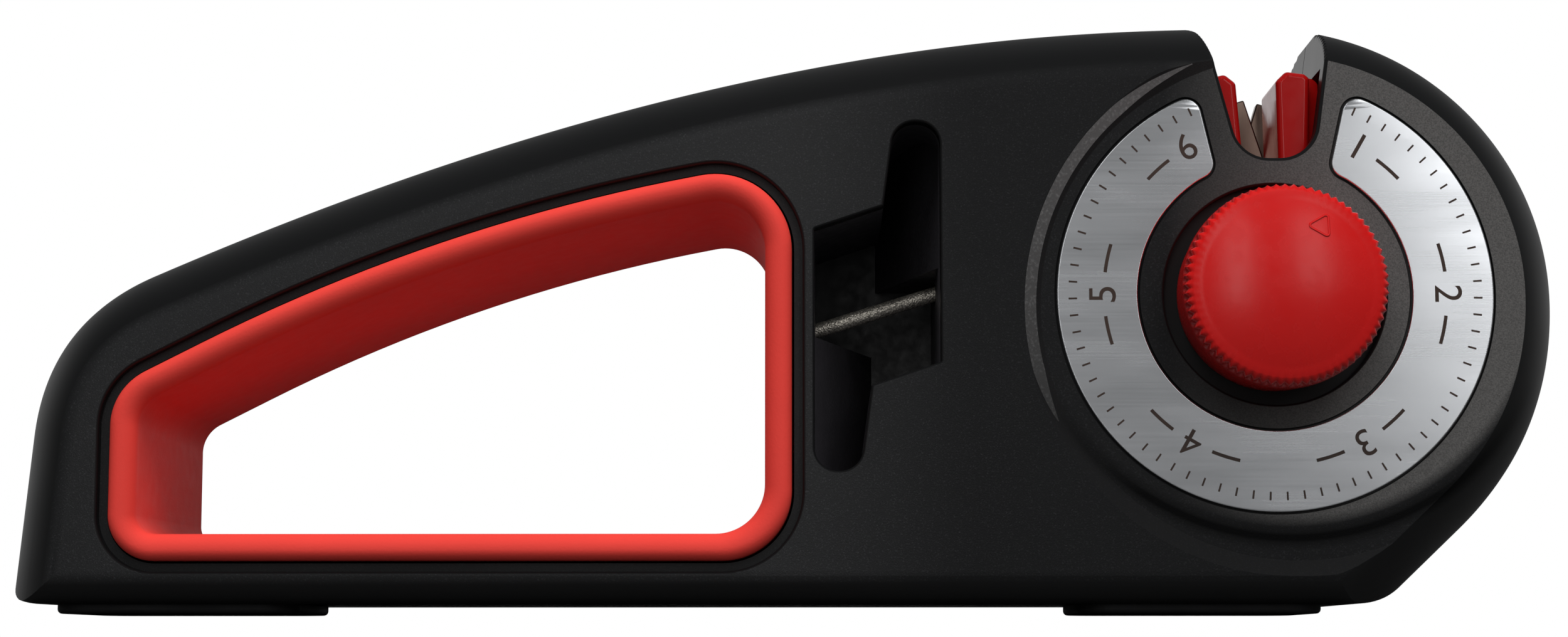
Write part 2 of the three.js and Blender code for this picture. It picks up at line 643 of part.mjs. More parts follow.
function frontHousing() {
  const shiftX = AXIS_X + DIAL_SHIFT * Math.cos(DIAL_SHIFT_TURN);
  const shiftZ = AXIS_Z + DIAL_SHIFT * Math.sin(DIAL_SHIFT_TURN);
  const dialEdge = DIAL_RADIUS + DIAL_SHIFT;
  const stepSlope = DIAL_STEP / DIAL_SINK;
  const sinkFront = -HALF - OVER;
  const sink = round(shiftX, shiftZ, sinkFront, DIAL_FACE, dialEdge + stepSlope * (DIAL_SINK + OVER),
    dialEdge, ROUND_SIDES);
  const bearing = round(AXIS_X, AXIS_Z, -INNER - OVER, BEARING_FACE, WELL_RADIUS + BEARING_RIM);
  const half = shells.add(bearing).subtract(box(-LENGTH, LENGTH, -PARTING / 2, LENGTH, -LENGTH, LENGTH));
  const pilotEnd = -SCREW_REACH - PILOT_SPARE;
  const pilots = screwPlaces().map((p) => smallRound(p, pilotEnd, HALF, SCREW_RADIUS + SLIP));
  return cut(half, [
    sink,
    plate(moved(ringOutline(FIT), AXIS_X, AXIS_Z), -HALF - OVER, DIAL_FACE + RING_SINK),
    plate(slot, -BODY_DEPTH, 0),
    round(AXIS_X, AXIS_Z, -BODY_DEPTH, WELL_FLOOR, WELL_RADIUS, WELL_RADIUS, ROUND_SIDES),
    round(AXIS_X, AXIS_Z, -BODY_DEPTH, 0, AXLE_RADIUS + SLIP),
    ...pilots,
  ]);
}

const leafLine = DETENT_RADIUS - NOSE_SINK + NOSE_RADIUS; // leaf's distance from the turret axis
const leafMount = point(AXIS_X - LEAF_MOUNT, AXIS_Z - leafLine - BOSS_RADIUS);
const leafFront = TURRET_BACK + FIT;
const leafBack = leafFront + LEAF_WIDTH;

function rearHousing() {
  const bearing = round(AXIS_X, AXIS_Z, CLIP_BACK + FIT, INNER + OVER, BEARING_RADIUS);
  const detentBoss = smallRound(leafMount, leafBack + SLIP, INNER + OVER, BOSS_RADIUS);
  const whole = joined([shells, bearing, detentBoss]);
  const half = whole.subtract(box(-LENGTH, LENGTH, -LENGTH, PARTING / 2, -LENGTH, LENGTH));
  const headSeat = HALF - HEAD_SINK - SCREW_HEAD - SLIP;
  const screwHoles = screwPlaces().flatMap((p) => [
    smallRound(p, -HALF, BODY_DEPTH, SCREW_RADIUS + SLIP),
    smallRound(p, headSeat, BODY_DEPTH, SCREW_HEAD_RADIUS + FIT),
  ]);
  return cut(half, [
    round(AXIS_X, AXIS_Z, 0, INNER, AXLE_RADIUS + SLIP),
    smallRound(leafMount, 0, INNER, TURRET_SCREW_RADIUS + SLIP),
    ...screwHoles,
  ]);
}

// Handle liner: a tunnel with a rounded lip on each face and a flange that the shells' ribs hold.

function handleGrip() {
  const reach = HALF + GRIP_PROUD;
  const bead = { size: GRIP_BEAD, depth: GRIP_BEAD, steps: 2 };
  const hole = grown(grip, -GRIP_WALL);
  const tunnel = plate(grip, -reach, reach, bead, [hole]);
  const flange = plate(grown(grip, GRIP_FLANGE), -GRIP_FLANGE_HALF, GRIP_FLANGE_HALF, null,
    [grown(grip, -GRIP_WALL / 2)]);
  return tunnel.add(flange);
}

// Scissor guide: a deep pocket behind the slot with two ramps, and the rod across it.

function rodSolid(radius, reach) {
  const geometry = new THREE.CylinderGeometry(radius, radius, 2 * reach, SMALL_SIDES);
  geometry.rotateZ(Math.PI / 2);
  geometry.rotateY(-ROD_TILT);
  geometry.translate(SLOT_X, 0, SLOT_CENTRE);
  return solidOf(geometry);
}

const rodReach = (SLOT_HALF_WIDTH + GUIDE_WALL - SLIP) / Math.cos(ROD_TILT) - ROD_RADIUS * Math.tan(ROD_TILT);

function scissorGuide() {
  const front = -INNER + FIT;
  const back = INNER - FIT;
  const floor = back - GUIDE_FLOOR;
  const rampStart = front + RAMP_START;
  const side = SLOT_X + SLOT_HALF_WIDTH + OVER;
  const upperRamp = [point(side, rampStart), point(side, floor + OVER), point(SLOT_X, floor + OVER)];
  const lowerRamp = upperRamp.map((p) => point(2 * SLOT_X - p.x, p.y));
  const top = SLOT_CENTRE + SLOT_HALF_HEIGHT + OVER;
  const ramps = [
    tower(upperRamp, SLOT_CENTRE + RAMP_CLEAR, top),
    tower(lowerRamp, 2 * SLOT_CENTRE - top, SLOT_CENTRE - RAMP_CLEAR),
  ];
  const block = plate(grown(slot, GUIDE_WALL), front, back).intersect(bodyForm(WALL + SLIP));
  const room = plate(slot, front - OVER, floor).subtract(joined(ramps));
  return cut(block, [room, rodSolid(ROD_RADIUS + SLIP, LENGTH)]);
}

// Turret, knob and axle, about their own axis

function axleSection(grow) {
  const radius = AXLE_RADIUS + grow;
  const flat = AXLE_FLAT + grow;
  const start = Math.acos(flat / radius);
  const outline = [];
  for (let k = 0; k <= BORE_SIDES; k += 1) {
    outline.push(polar(radius, start + ((2 * Math.PI - 2 * start) * k) / BORE_SIDES));
  }
  return outline;
}

function axleBore() {
  return plate(axleSection(SLIP), -BODY_DEPTH, BODY_DEPTH);
}

const knobFront = -HALF - KNOB_PROUD;
const axleFront = knobFront + KNOB_COVER;

function axleSolid() {
  const grooveFront = CLIP_FRONT - SLIP;
  const grooveBack = CLIP_BACK + SLIP;
  const core = round(0, 0, grooveFront - OVER, grooveBack + OVER, AXLE_RADIUS - GROOVE_DEPTH);
  const groove = round(0, 0, grooveFront, grooveBack, AXLE_RADIUS + OVER).subtract(core);
  return plate(axleSection(0), axleFront, INNER - SLIP).subtract(groove);
}

function knobSolid() {
  const bottom = WELL_FLOOR - FIT;
  const rimBack = knobFront + KNOB_DOME + KNOB_BAND;
  const rimFront = knobFront + KNOB_DOME;
  const profile = [point(0, bottom), point(KNOB_SKIRT, bottom), point(KNOB_SKIRT, rimFront)];
  const ballRadius = (KNOB_SKIRT ** 2 + KNOB_DOME ** 2) / (2 * KNOB_DOME);
  for (let k = 1; k <= DOME_STEPS; k += 1) {
    const r = KNOB_SKIRT * (1 - k / DOME_STEPS);
    const drop = ballRadius - Math.sqrt(ballRadius ** 2 - r ** 2);
    profile.push(point(r, knobFront + drop));
  }
  const knurl = [];
  for (let k = 0; k < 2 * KNURL_COUNT; k += 1) {
    const radius = k % 2 ? KNOB_RADIUS - KNURL_DEPTH : KNOB_RADIUS;
    knurl.push(polar(radius, (Math.PI * k) / KNURL_COUNT));
  }
  const rim = plate(knurl, rimFront, rimBack);
  const socket = plate(axleSection(SLIP), axleFront - SLIP, BODY_DEPTH);
  return turned(profile).add(rim).subtract(socket);
}

// One post in its station's own frame, the radius up: its V side, a chamfered top and its outer side.
function postOutline() {
  const inner = VEE_TOP_GAP / 2;
  const outer = inner + POST_WIDTH;
  const c = POST_CHAMFER;
  const root = HUB_RADIUS - 2 * c;
  const topAt = (x) => Math.sqrt(TURRET_RADIUS ** 2 - x ** 2);
  return [
    point(VEE_FLOOR_GAP / 2, root),
    point(outer - POST_TAPER, root),
    point(outer, topAt(outer) - c / 2),
    point(outer - c, topAt(outer - c)),
    point(inner + c, topAt(inner + c)),
    point(inner, topAt(inner) - c),
    point(VEE_FLOOR_GAP / 2, VEE_FLOOR),
  ];
}

function posts(y0, y1) {
  const right = postOutline();
  const all = [];
  for (let k = 0; k < STATIONS; k += 1) {
    for (const outline of [right, flipped(right).reverse()]) {
      const placed = outline.map((p) => p.clone().rotateAround(point(0, 0), k * STATION_TURN));
      all.push(plate(placed, y0, y1));
    }
  }
  return joined(all);
}

const layerFace = FIT / 2 + ABRASIVE_THICKNESS + FIT; // posts end here, on either side of the abrasives

function turretScrewPlaces() {
  return Array.from({ length: TURRET_SCREW_COUNT }, (_, k) => (
    polar(TURRET_SCREW_CIRCLE, Math.PI / 2 + STATION_TURN / 2 + (2 * Math.PI * k) / TURRET_SCREW_COUNT)
  ));
}

function turretFront() {
  const hub = round(0, 0, HUB_FRONT, -FIT / 2, HUB_RADIUS, HUB_RADIUS, ROUND_SIDES);
  const bearingRoom = round(0, 0, -HALF, HUB_FRONT, WELL_RADIUS + BEARING_RIM + RUN);
  const body = posts(POST_FRONT, -layerFace).subtract(bearingRoom).add(hub);
  const holes = turretScrewPlaces().map((p) => (
    smallRound(p, -TURRET_SCREW_REACH - SLIP, OVER, TURRET_SCREW_RADIUS + SLIP)
  ));
  return cut(body, [axleBore(), ...holes]);
}

const turretScrewSeat = DETENT_BACK - TURRET_SCREW_HEAD_HEIGHT - SLIP;

function turretRear() {
  const hub = round(0, 0, FIT / 2, TURRET_BACK, HUB_RADIUS, HUB_RADIUS, ROUND_SIDES);
  const detent = round(0, 0, TURRET_BACK - OVER, DETENT_BACK, DETENT_RADIUS, DETENT_RADIUS, ROUND_SIDES);
  const scallops = Array.from({ length: STATIONS }, (_, k) => {
    const p = polar(DETENT_RADIUS + SCALLOP_OUT, k * STATION_TURN - Math.PI / 2);
    return smallRound(p, TURRET_BACK, DETENT_BACK + OVER, DETENT_SCALLOP);
  });
  const holes = turretScrewPlaces().flatMap((p) => [
    smallRound(p, -OVER, BODY_DEPTH, TURRET_SCREW_RADIUS + SLIP),
    smallRound(p, turretScrewSeat, BODY_DEPTH, TURRET_SCREW_HEAD + SLIP),
  ]);
  const body = posts(layerFace, TURRET_BACK).add(hub).add(detent);
  return cut(body, [axleBore(), ...scallops, ...holes]);
}

// An abrasive of a station. Its working edge leans from the radius and crosses it at the V. Left pieces
// lie in front of the middle plane and right ones behind it, so that the two edges cross.
function abrasive(kind, lean, side) {
  const down = point(Math.sin(lean), -Math.cos(lean));
  const away = point(down.y, -down.x);
  const vee = point(0, VEE_RADIUS);
  const width = kind === 'rod' ? ABRASIVE_THICKNESS : ABRASIVE_WIDTH;
  const above = (TURRET_RADIUS - TIP_SETBACK - VEE_RADIUS) / Math.cos(lean);
  const below = (VEE_RADIUS - HUB_RADIUS - HUB_GAP - width * Math.sin(lean)) / Math.cos(lean);
  const upper = vee.clone().addScaledVector(down, -above);
  const lower = vee.clone().addScaledVector(down, below);
  const middle = FIT / 2 + ABRASIVE_THICKNESS / 2;
  if (kind === 'rod') {
    const radius = width / 2;
    const centre = upper.clone().add(lower).multiplyScalar(0.5).addScaledVector(away, radius);
    const geometry = new THREE.CylinderGeometry(radius, radius, above + below, SMALL_SIDES);
    geometry.rotateX(Math.PI / 2);
    geometry.rotateY(side * lean);
    geometry.translate(-side * centre.x, side * middle, centre.y);
    return solidOf(geometry);
  }
  const edge = [upper, lower];
  const back = [lower, upper].map((p) => p.clone().addScaledVector(away, width));
  const outline = [...edge, ...back];
  const placed = side > 0 ? flipped(outline) : outline;
  const y = side * middle;
  return plate(placed, y - ABRASIVE_THICKNESS / 2, y + ABRASIVE_THICKNESS / 2);
}

const knifeLean = THREE.MathUtils.degToRad(17.5);
const slimLean = THREE.MathUtils.degToRad(12);
const hardLean = THREE.MathUtils.degToRad(21);
const fenceLean = THREE.MathUtils.degToRad(3);
const stations = [
  { name: 'coarse_plate', left: ['plate', knifeLean], right: ['plate', knifeLean], finish: carbide },
  { name: 'medium_plate', left: ['plate', knifeLean], right: ['plate', knifeLean], finish: diamond },
  { name: 'fine_rod', left: ['rod', knifeLean], right: ['rod', knifeLean], finish: ceramic },
  { name: 'serrated_rod', left: ['rod', slimLean], right: ['rod', slimLean], finish: diamond },
  { name: 'ceramic_knife_plate', left: ['plate', hardLean], right: ['plate', hardLean], finish: diamond },
  { name: 'single_bevel_plate', left: ['plate', knifeLean], right: ['plate', fenceLean], finish: carbide },
];

function clipSolid() {
  const ring = round(0, 0, CLIP_FRONT, CLIP_BACK, CLIP_RADIUS);
  const inside = AXLE_RADIUS - GROOVE_DEPTH + SLIP;
  return cut(ring, [
    round(0, 0, CLIP_FRONT - OVER, CLIP_BACK + OVER, inside),
    box(-CLIP_GAP / 2, CLIP_GAP / 2, CLIP_FRONT - OVER, CLIP_BACK + OVER, 0, CLIP_RADIUS + OVER),
  ]);
}

function washerSolid() {
  const front = BEARING_FACE + FIT;
  const ring = round(0, 0, front, front + WASHER_THICKNESS, WASHER_RADIUS);
  return ring.subtract(round(0, 0, front - OVER, front + OVER, AXLE_RADIUS + SLIP));
}

// A screw along Y with its head at the rear end and a slot in the head.
function screwSolid(p, tip, headFront, headBack, radius, headRadius) {
  const shank = smallRound(p, tip, headFront + SLIP, radius);
  const head = smallRound(p, headFront, headBack, headRadius);
  const half = SLOT_CUT / 2;
  const across = headRadius * SLOT_SPAN;
  const slots = [
    box(p.x - across, p.x + across, headBack - SLOT_CUT, headBack + OVER, p.y - half, p.y + half),
    box(p.x - half, p.x + half, headBack - SLOT_CUT, headBack + OVER, p.y - across, p.y + across),
  ];
  return cut(shank.add(head), slots);
}

// The detent leaf: a strip under the turret's detent ring, a round nose in a scallop and a screw tab.
function detentSpring() {
  const line = AXIS_Z - leafLine;
  const end = leafMount.x - BOSS_RADIUS / 2;
  const under = line - LEAF_THICKNESS;
  const strip = box(end, AXIS_X + LEAF_REACH, leafFront, leafBack, under, line);
  const nose = round(AXIS_X, line, leafFront, leafBack, NOSE_RADIUS, NOSE_RADIUS, SMALL_SIDES);
  const below = box(-LENGTH, LENGTH, -HALF, HALF, -HEIGHT, under);
  const tabFront = leafBack - LEAF_THICKNESS;
  const tab = box(end, leafMount.x + BOSS_RADIUS, tabFront, leafBack, leafMount.y - BOSS_RADIUS / 2, line);
  const hole = smallRound(leafMount, 0, BODY_DEPTH, TURRET_SCREW_RADIUS + SLIP);
  return strip.add(nose.subtract(below)).add(tab).subtract(hole);
}

function detentScrew() {
  const headBack = leafBack - LEAF_THICKNESS - SLIP;
  const shank = smallRound(leafMount, headBack - SLIP, INNER - SLIP, TURRET_SCREW_RADIUS);
  return shank.add(smallRound(leafMount, leafFront, headBack, TURRET_SCREW_HEAD));
}

// Assembly

function place(parent, name, solid, finish) {
  const mesh = new THREE.Mesh(geometryOf(solid), finish);
  mesh.name = name;
  parent.add(mesh);
  return mesh;
}

const sharpener = new THREE.Group();
sharpener.position.y = (KNOB_PROUD - GRIP_PROUD) / 2; // the knob and the rear lip reach equally far

place(sharpener, 'front_housing', frontHousing(), charcoal);
place(sharpener, 'rear_housing', rearHousing(), charcoal);
place(sharpener, 'handle_grip', handleGrip(), red);
const ringBack = DIAL_FACE + RING_SINK - SLIP;
const ring = plate(moved(ringOutline(0), AXIS_X, AXIS_Z), ringBack - RING_THICKNESS, ringBack);
place(sharpener, 'dial_ring', ring, aluminium);
place(sharpener, 'scissor_guide', scissorGuide(), black);
place(sharpener, 'scissor_rod', rodSolid(ROD_RADIUS, rodReach), diamond);
for (const [name, x] of padMiddles) {
  place(sharpener, name, tower(padOutline(x, 0), 0, padTop), rubber);
}
const screwHeadFront = HALF - HEAD_SINK - SCREW_HEAD;
screwPlaces().forEach((p, k) => {
  const screw = screwSolid(p, -SCREW_REACH, screwHeadFront, HALF - HEAD_SINK, SCREW_RADIUS, SCREW_HEAD_RADIUS);
  place(sharpener, `housing_screw_${k + 1}`, screw, steel);
});
place(sharpener, 'detent_spring', detentSpring(), steel);
place(sharpener, 'detent_screw', detentScrew(), steel);

const turret = new THREE.Group();
turret.position.set(AXIS_X, 0, AXIS_Z);
sharpener.add(turret);
place(turret, 'knob', knobSolid(), red);
place(turret, 'axle', axleSolid(), steel);
place(turret, 'thrust_washer', washerSolid(), steel);
place(turret, 'turret_front', turretFront(), red);
place(turret, 'turret_rear', turretRear(), red);
place(turret, 'retaining_clip', clipSolid(), steel);
turretScrewPlaces().forEach((p, k) => {
  const headFront = turretScrewSeat + SLIP;
  const screw = screwSolid(p, -TURRET_SCREW_REACH, headFront, headFront + TURRET_SCREW_HEAD_HEIGHT,
    TURRET_SCREW_RADIUS, TURRET_SCREW_HEAD);
  place(turret, `turret_screw_${k + 1}`, screw, steel);
});
stations.slice(0, STATIONS).forEach(({ name, left, right, finish }, k) => {
  const station = new THREE.Group();
  station.rotation.y = k * STATION_TURN;
  turret.add(station);
  place(station, `${name}_left`, abrasive(...left, -1), finish);
  place(station, `${name}_right`, abrasive(...right, 1), finish);
});

export default sharpener;
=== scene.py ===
"""Looks of a knife and scissor sharpener with a six-station turret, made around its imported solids.

Lengths are metres. X runs along the body, Y from the front face to the rear, Z up from the feet.
Outlines are X-Z arrays about the frame's origin, and depths are measured from the parting plane.
"""

import json
import math

import bmesh
import bpy
import numpy as np
from bpy.props import FloatProperty, FloatVectorProperty, IntProperty, PointerProperty
from bpy.types import Operator, Panel, PropertyGroup
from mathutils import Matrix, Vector
from mathutils.geometry import tessellate_polygon


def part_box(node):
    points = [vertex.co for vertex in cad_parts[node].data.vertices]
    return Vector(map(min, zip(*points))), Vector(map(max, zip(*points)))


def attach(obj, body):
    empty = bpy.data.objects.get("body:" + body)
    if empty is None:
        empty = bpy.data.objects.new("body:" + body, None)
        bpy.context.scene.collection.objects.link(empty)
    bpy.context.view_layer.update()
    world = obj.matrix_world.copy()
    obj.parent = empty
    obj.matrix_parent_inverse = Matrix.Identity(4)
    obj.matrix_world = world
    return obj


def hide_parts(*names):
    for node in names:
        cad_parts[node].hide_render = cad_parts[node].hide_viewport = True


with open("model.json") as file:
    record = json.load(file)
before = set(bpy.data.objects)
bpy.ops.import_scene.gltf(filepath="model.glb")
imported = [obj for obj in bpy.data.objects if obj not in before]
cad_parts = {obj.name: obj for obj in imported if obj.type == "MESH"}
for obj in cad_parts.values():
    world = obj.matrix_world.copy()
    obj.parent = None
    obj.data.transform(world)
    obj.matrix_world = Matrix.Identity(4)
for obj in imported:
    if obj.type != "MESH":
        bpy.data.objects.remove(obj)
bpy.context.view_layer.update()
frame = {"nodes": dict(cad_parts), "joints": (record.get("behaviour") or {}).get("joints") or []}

bl_info = {
    "name": "Sharpener looks",
    "version": (1, 0, 0),
    "blender": (4, 5, 0),
    "location": "View3D > Sidebar > Sharpener",
    "description": "Fine surfaces, finishes and stage of a knife and scissor sharpener",
    "category": "Object",
}

MM = 0.001

# Places that the frame gives
AXIS = np.array(frame["joints"][0]["pos_m"])
MIDDLE = AXIS[1]
HUB = AXIS[[0, 2]]
RIGHT_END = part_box("front_housing")[1].x
LEFT_END = -RIGHT_END
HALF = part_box("rear_housing")[1].y - MIDDLE
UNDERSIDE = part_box("front_housing")[0].z
SLOT = np.add(*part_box("scissor_guide"))[[0, 2]] / 2

# Counts
STATIONS = 6
HOUSING_SCREWS = 6
TURRET_SCREWS = 3
TICKS = 66

# Steps of fine surfaces
FACET = math.radians(7)
SOFT_STEPS = 18
FILLET_STEPS = 5
CURVE_POINTS = 40
BACK_POINTS = 90
HEAD_POINTS = 60
CORNER_POINTS = 14
NOTCH_SPACING = 0.5 * MM
NOTCH_STEP = 0.2 * MM
GRIP_STEPS = 20
LIP_STEPS = 10
ARC_POINTS = 150
BAND_SECTIONS = 90
BAND_POINTS = 7
DOME_STEPS = 25
RIM_STEPS = 8
TOOTH_POINTS = 8
RIB_POINTS = 12
POST_STEPS = 6
CROWN_STEPS = 7
ROD_SECTIONS = 160
ROD_POINTS = 40
PATCH_POINTS = 10

# Points round circles
DIAL_POINTS = 240
WELL_POINTS = 160
HUB_POINTS = 120
DISC_POINTS = 96
BEARING_POINTS = 64
BORE_POINTS = 48
BOSS_POINTS = 40
HOLE_POINTS = 32

# Points nearer than this are one, in own meshes and in packed ones
SAME = 1e-7
CAD_SAME = 1e-6

# How far cutters and their rounds reach past what they cut, and half the length of the rod's cutter
PROUD = 1 * MM
SKIM = 0.01 * MM
ROD_CUT = 40 * MM

# Share of the outline's room that the soft edge may use, and the radii that a corner's arc clears round it
SOFT_SHARE = 0.98
CORNER_CLEAR = 1.25

# Bends that stay sharp in the shading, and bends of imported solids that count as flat
SHARP = math.radians(19)
TURRET_SHARP = math.radians(24)
KNOB_SHARP = math.radians(28)
LINER_SHARP = math.radians(40)
ALL_SOFT = math.radians(60)
CAD_FLAT = math.radians(2)

# Corner rounds of the liner's outer and inner side, from the lower left and counter-clockwise
GRIP_ROUNDS = np.array([6, 9, 10, 240, 8]) * MM
TUNNEL_ROUNDS = np.array([2.5, 6.4, 6.5, 236, 4.5]) * MM

# Print on the scale plate: its figures, gap, arcs and ticks, with turns in radians
FONT_SCALE = 1.4
PRINT_GAP = math.radians(24)
ARC_NEAR, ARC_FAR = 0.13, 0.30
ARC_HALF = 0.22 * MM
TICK_HALF = 0.0045
TICK_LENGTH = 1.1 * MM

# Least taper of the crescent band and the power of its taper
BAND_LEAST = 0.03
BAND_POWER = 0.7

# Powers of the knurl: how its valleys deepen over the knob's shoulder, and how steep they are
KNURL_GROWTH = 0.8
KNURL_STEEPNESS = 1.15

# Painted light and shade on the dial face, brushing and grit
LIT_RADIUS = 33.6 * MM
LIT_SHIFT = (1.7 * MM, 3.4 * MM)
SHADE_RADIUS = 35.0 * MM
BRUSHING = "brushing"
BRUSHING_RISE = math.radians(14)
ROD_GRIT = 0.012
GRIT_SEED = 7


def size(name, description, millimetres):
    """A length property, written in millimetres and held in metres."""
    default = millimetres * MM
    return FloatProperty(name=name, description=description, default=default, unit="LENGTH", precision=5)


def slant(name, description, degrees):
    """An angle property, written in degrees."""
    return FloatProperty(name=name, description=description, default=math.radians(degrees), unit="ROTATION")


def share(name, description, default, most=1.0):
    """A plain factor."""
    return FloatProperty(name=name, description=description, default=default, min=0.0, soft_max=most)


def colour(name, description, *tint):
    """A linear colour."""
    return FloatVectorProperty(
        name=name, description=description, default=tint, subtype="COLOR", size=3, min=0.0, max=1.0
    )


def location(name, description, *metres):
    """A place of the stage."""
    return FloatVectorProperty(name=name, description=description, default=metres, subtype="TRANSLATION")


def extent(name, description, *metres):
    """Width and height of a lamp."""
    return FloatVectorProperty(name=name, description=description, default=metres, size=2, unit="LENGTH")


class SharpenerBody(PropertyGroup):
    """Sizes of the two shells."""

    wall: size("Wall", "Thickness of the shells", 2.4)
    seam: size("Seam", "Gap between the shells", 0.3)
    soft_reach: size("Soft edge reach", "How far the soft edge reaches over a face", 9)
    soft_depth: size("Soft edge depth", "How far it reaches round the side", 18)
    end_lean: slant("End lean", "Lean of the left end", 5.4)
    end_top: size("End top", "Height where the left end turns over", 23.6)
    end_corner: size("End corner", "Lower corner of the left end", 6.5)
    shoulder_reach: size("Shoulder reach", "Left end to the start of the back", 17.5)
    shoulder_height: size("Shoulder height", "Height of the start of the back", 45.8)
    shoulder_slope: slant("Shoulder slope", "Slope of the back there", 23.6)
    ease_left: size("Left ease", "How long the back keeps that slope", 83.6)
    ease_head: size("Head ease", "How long the back stays level beside the head", 24)
    head_shift: size("Head shift", "Round of the head, right of the turret axis", 0.6)
    head_drop: size("Head drop", "Round of the head, below the turret axis", 0.2)
    flank_out: size("Flank out", "How far the lower flank stands off the round of the head", 1)
    flank_turn: slant("Flank turn", "Direction of the flank's normal below level", 46.4)
    flank_corner: size("Flank corner", "Lower corner of the flank", 6)
    low_round: size("Bottom round", "Round of the lower front and rear edges", 4.2)
    fillet: size("Edge fillet", "Round of the edges of slots and wells", 0.4)
    groove_fillet: size("Groove fillet", "Round of the edge of the groove round the liner", 0.48)
    boss: size("Boss", "Radius of the screw bosses", 3.4)
    pilot: size("Pilot", "Radius of the screw holes", 1.6)
    pilot_reach: size("Pilot reach", "How far they reach into the front shell", 13.5)
    sink: size("Screw sink", "Radius of the wells over the screw heads", 2.9)
    sink_depth: size("Sink depth", "Depth of these wells", 5.2)
    sink_edge: size("Sink edge", "Round of their edges", 0.25)
    axle_hole: size("Axle hole", "Radius of the axle's holes", 3.2)
    bearing: size("Bearing", "Radius of the rear bearing", 6.5)
    bearing_front: size("Bearing front", "Front of the rear bearing, from the parting plane", 15.4)
    bearing_floor: size("Bearing floor", "End of its hole, from the parting plane", 17.6)
    pad_corner: size("Pad corner", "Corners of the foot pads", 5)
    pad_edge: size("Pad edge", "Round of the foot pads' lower edges", 0.6)
    pad_pocket: size("Pad pocket", "Top of the pockets for the foot pads", 2.2)


class SharpenerNotch(PropertyGroup):
    """Sizes of the knife notch and of the room for the turret."""

    floor: size("Floor", "Notch floor above the turret axis", 18)
    floor_round: size("Floor round", "Corners of the notch floor", 4.8)
    left: size("Left corner", "Floor corner left of the axis", 4)
    right: size("Right corner", "Floor corner right of the axis", 5.3)
    left_flare: slant("Left flare", "Lean of the left wall", 14.7)
    right_flare: slant("Right flare", "Lean of the right wall", 8)
    left_lip: size("Left lip", "Round of the left wall's top", 3)
    right_lip: size("Right lip", "Round of the right wall's top", 1.2)
    lip_rise: size("Lip rise", "Level of the lips above the head", 0.3)
    cheek: size("Cheek", "Wall beside the notch", 1.8)
    edge: size("Edge", "Round of the notch's edges", 0.45)
    room: size("Turret room", "Space round the turret", 0.8)
    room_half: size("Room half depth", "Half depth of that space", 16.2)


class SharpenerHandle(PropertyGroup):
    """Sizes of the red liner in the finger opening."""

    left: size("Left", "Left end of the body to the liner", 14.9)
    bottom: size("Bottom", "Height of the lower side", 6.7)
    right: size("Right", "Place of the right side along X", 0.95)
    left_top: size("Left top", "Height of the upper left corner", 29.1)
    crown: size("Crown", "Height of the crown", 50.5)
    crown_reach: size("Crown reach", "Left side to the crown", 42.2)
    right_top: size("Right top", "Height of the upper right corner", 59.2)
    wall: size("Wall", "Thickness of the liner", 3.5)
    proud: size("Proud", "Lip in front of the faces", 0.8)
    bead: size("Bead", "Round of the lip's outer edge", 1.4)
    roll: size("Roll", "Round of the lip's inner edge", 2.1)
    draft_top: size("Top draft", "How much lower the tunnel's top is at the rear", 1.0)
    draft_left: size("Left draft", "How much the tunnel's left side closes in to the rear", 0.3)
    groove: size("Groove", "Width of the groove round the liner", 1.4)
    groove_depth: size("Groove depth", "Depth of that groove", 1.5)
    flange: size("Flange", "Reach of the flange between the shells", 1.2)
    flange_half: size("Flange half", "Half thickness of the flange", 1.5)
    collar: size("Collar", "Ribs that hold the flange", 1.2)
    fit: size("Fit", "Gap round the liner", 0.3)


class SharpenerSlot(PropertyGroup):
    """Sizes of the scissor slot, its guide and its rod."""

    half_width: size("Half width", "Half width", 8.2)
    half_height: size("Half height", "Half height", 22.85)
    end_width: size("End width", "Width of the slot's ends", 5.9)
    end_round: size("End round", "Round of the slot's ends", 3)
    knee_offset: size("Knee offset", "Knee's distance from the middle line", 0.8)
    knee_height: size("Knee height", "Knee's height from the middle", 11.7)
    shoulder: size("Shoulder", "Height of the upper left corner from the middle", 8.7)
    corner: size("Corner", "Round of the knees and shoulders", 0.25)
    guide_wall: size("Guide wall", "Wall of the pocket", 1)
    guide_floor: size("Guide floor", "Floor of the pocket", 1.6)
    ramp_clear: size("Ramp clearance", "Ramps stop this far from the rod", 4.6)
    ramp_start: size("Ramp start", "Depth of a ramp's front edge", 2)
    rod_radius: size("Rod radius", "Radius of the rod", 1.0)
    rod_slip: size("Rod slip", "Half of the gap round the rod, and the wall left at its ends", 0.2)
    rod_tilt: slant("Rod tilt", "Tilt of the rod, up to the right", 17.4)


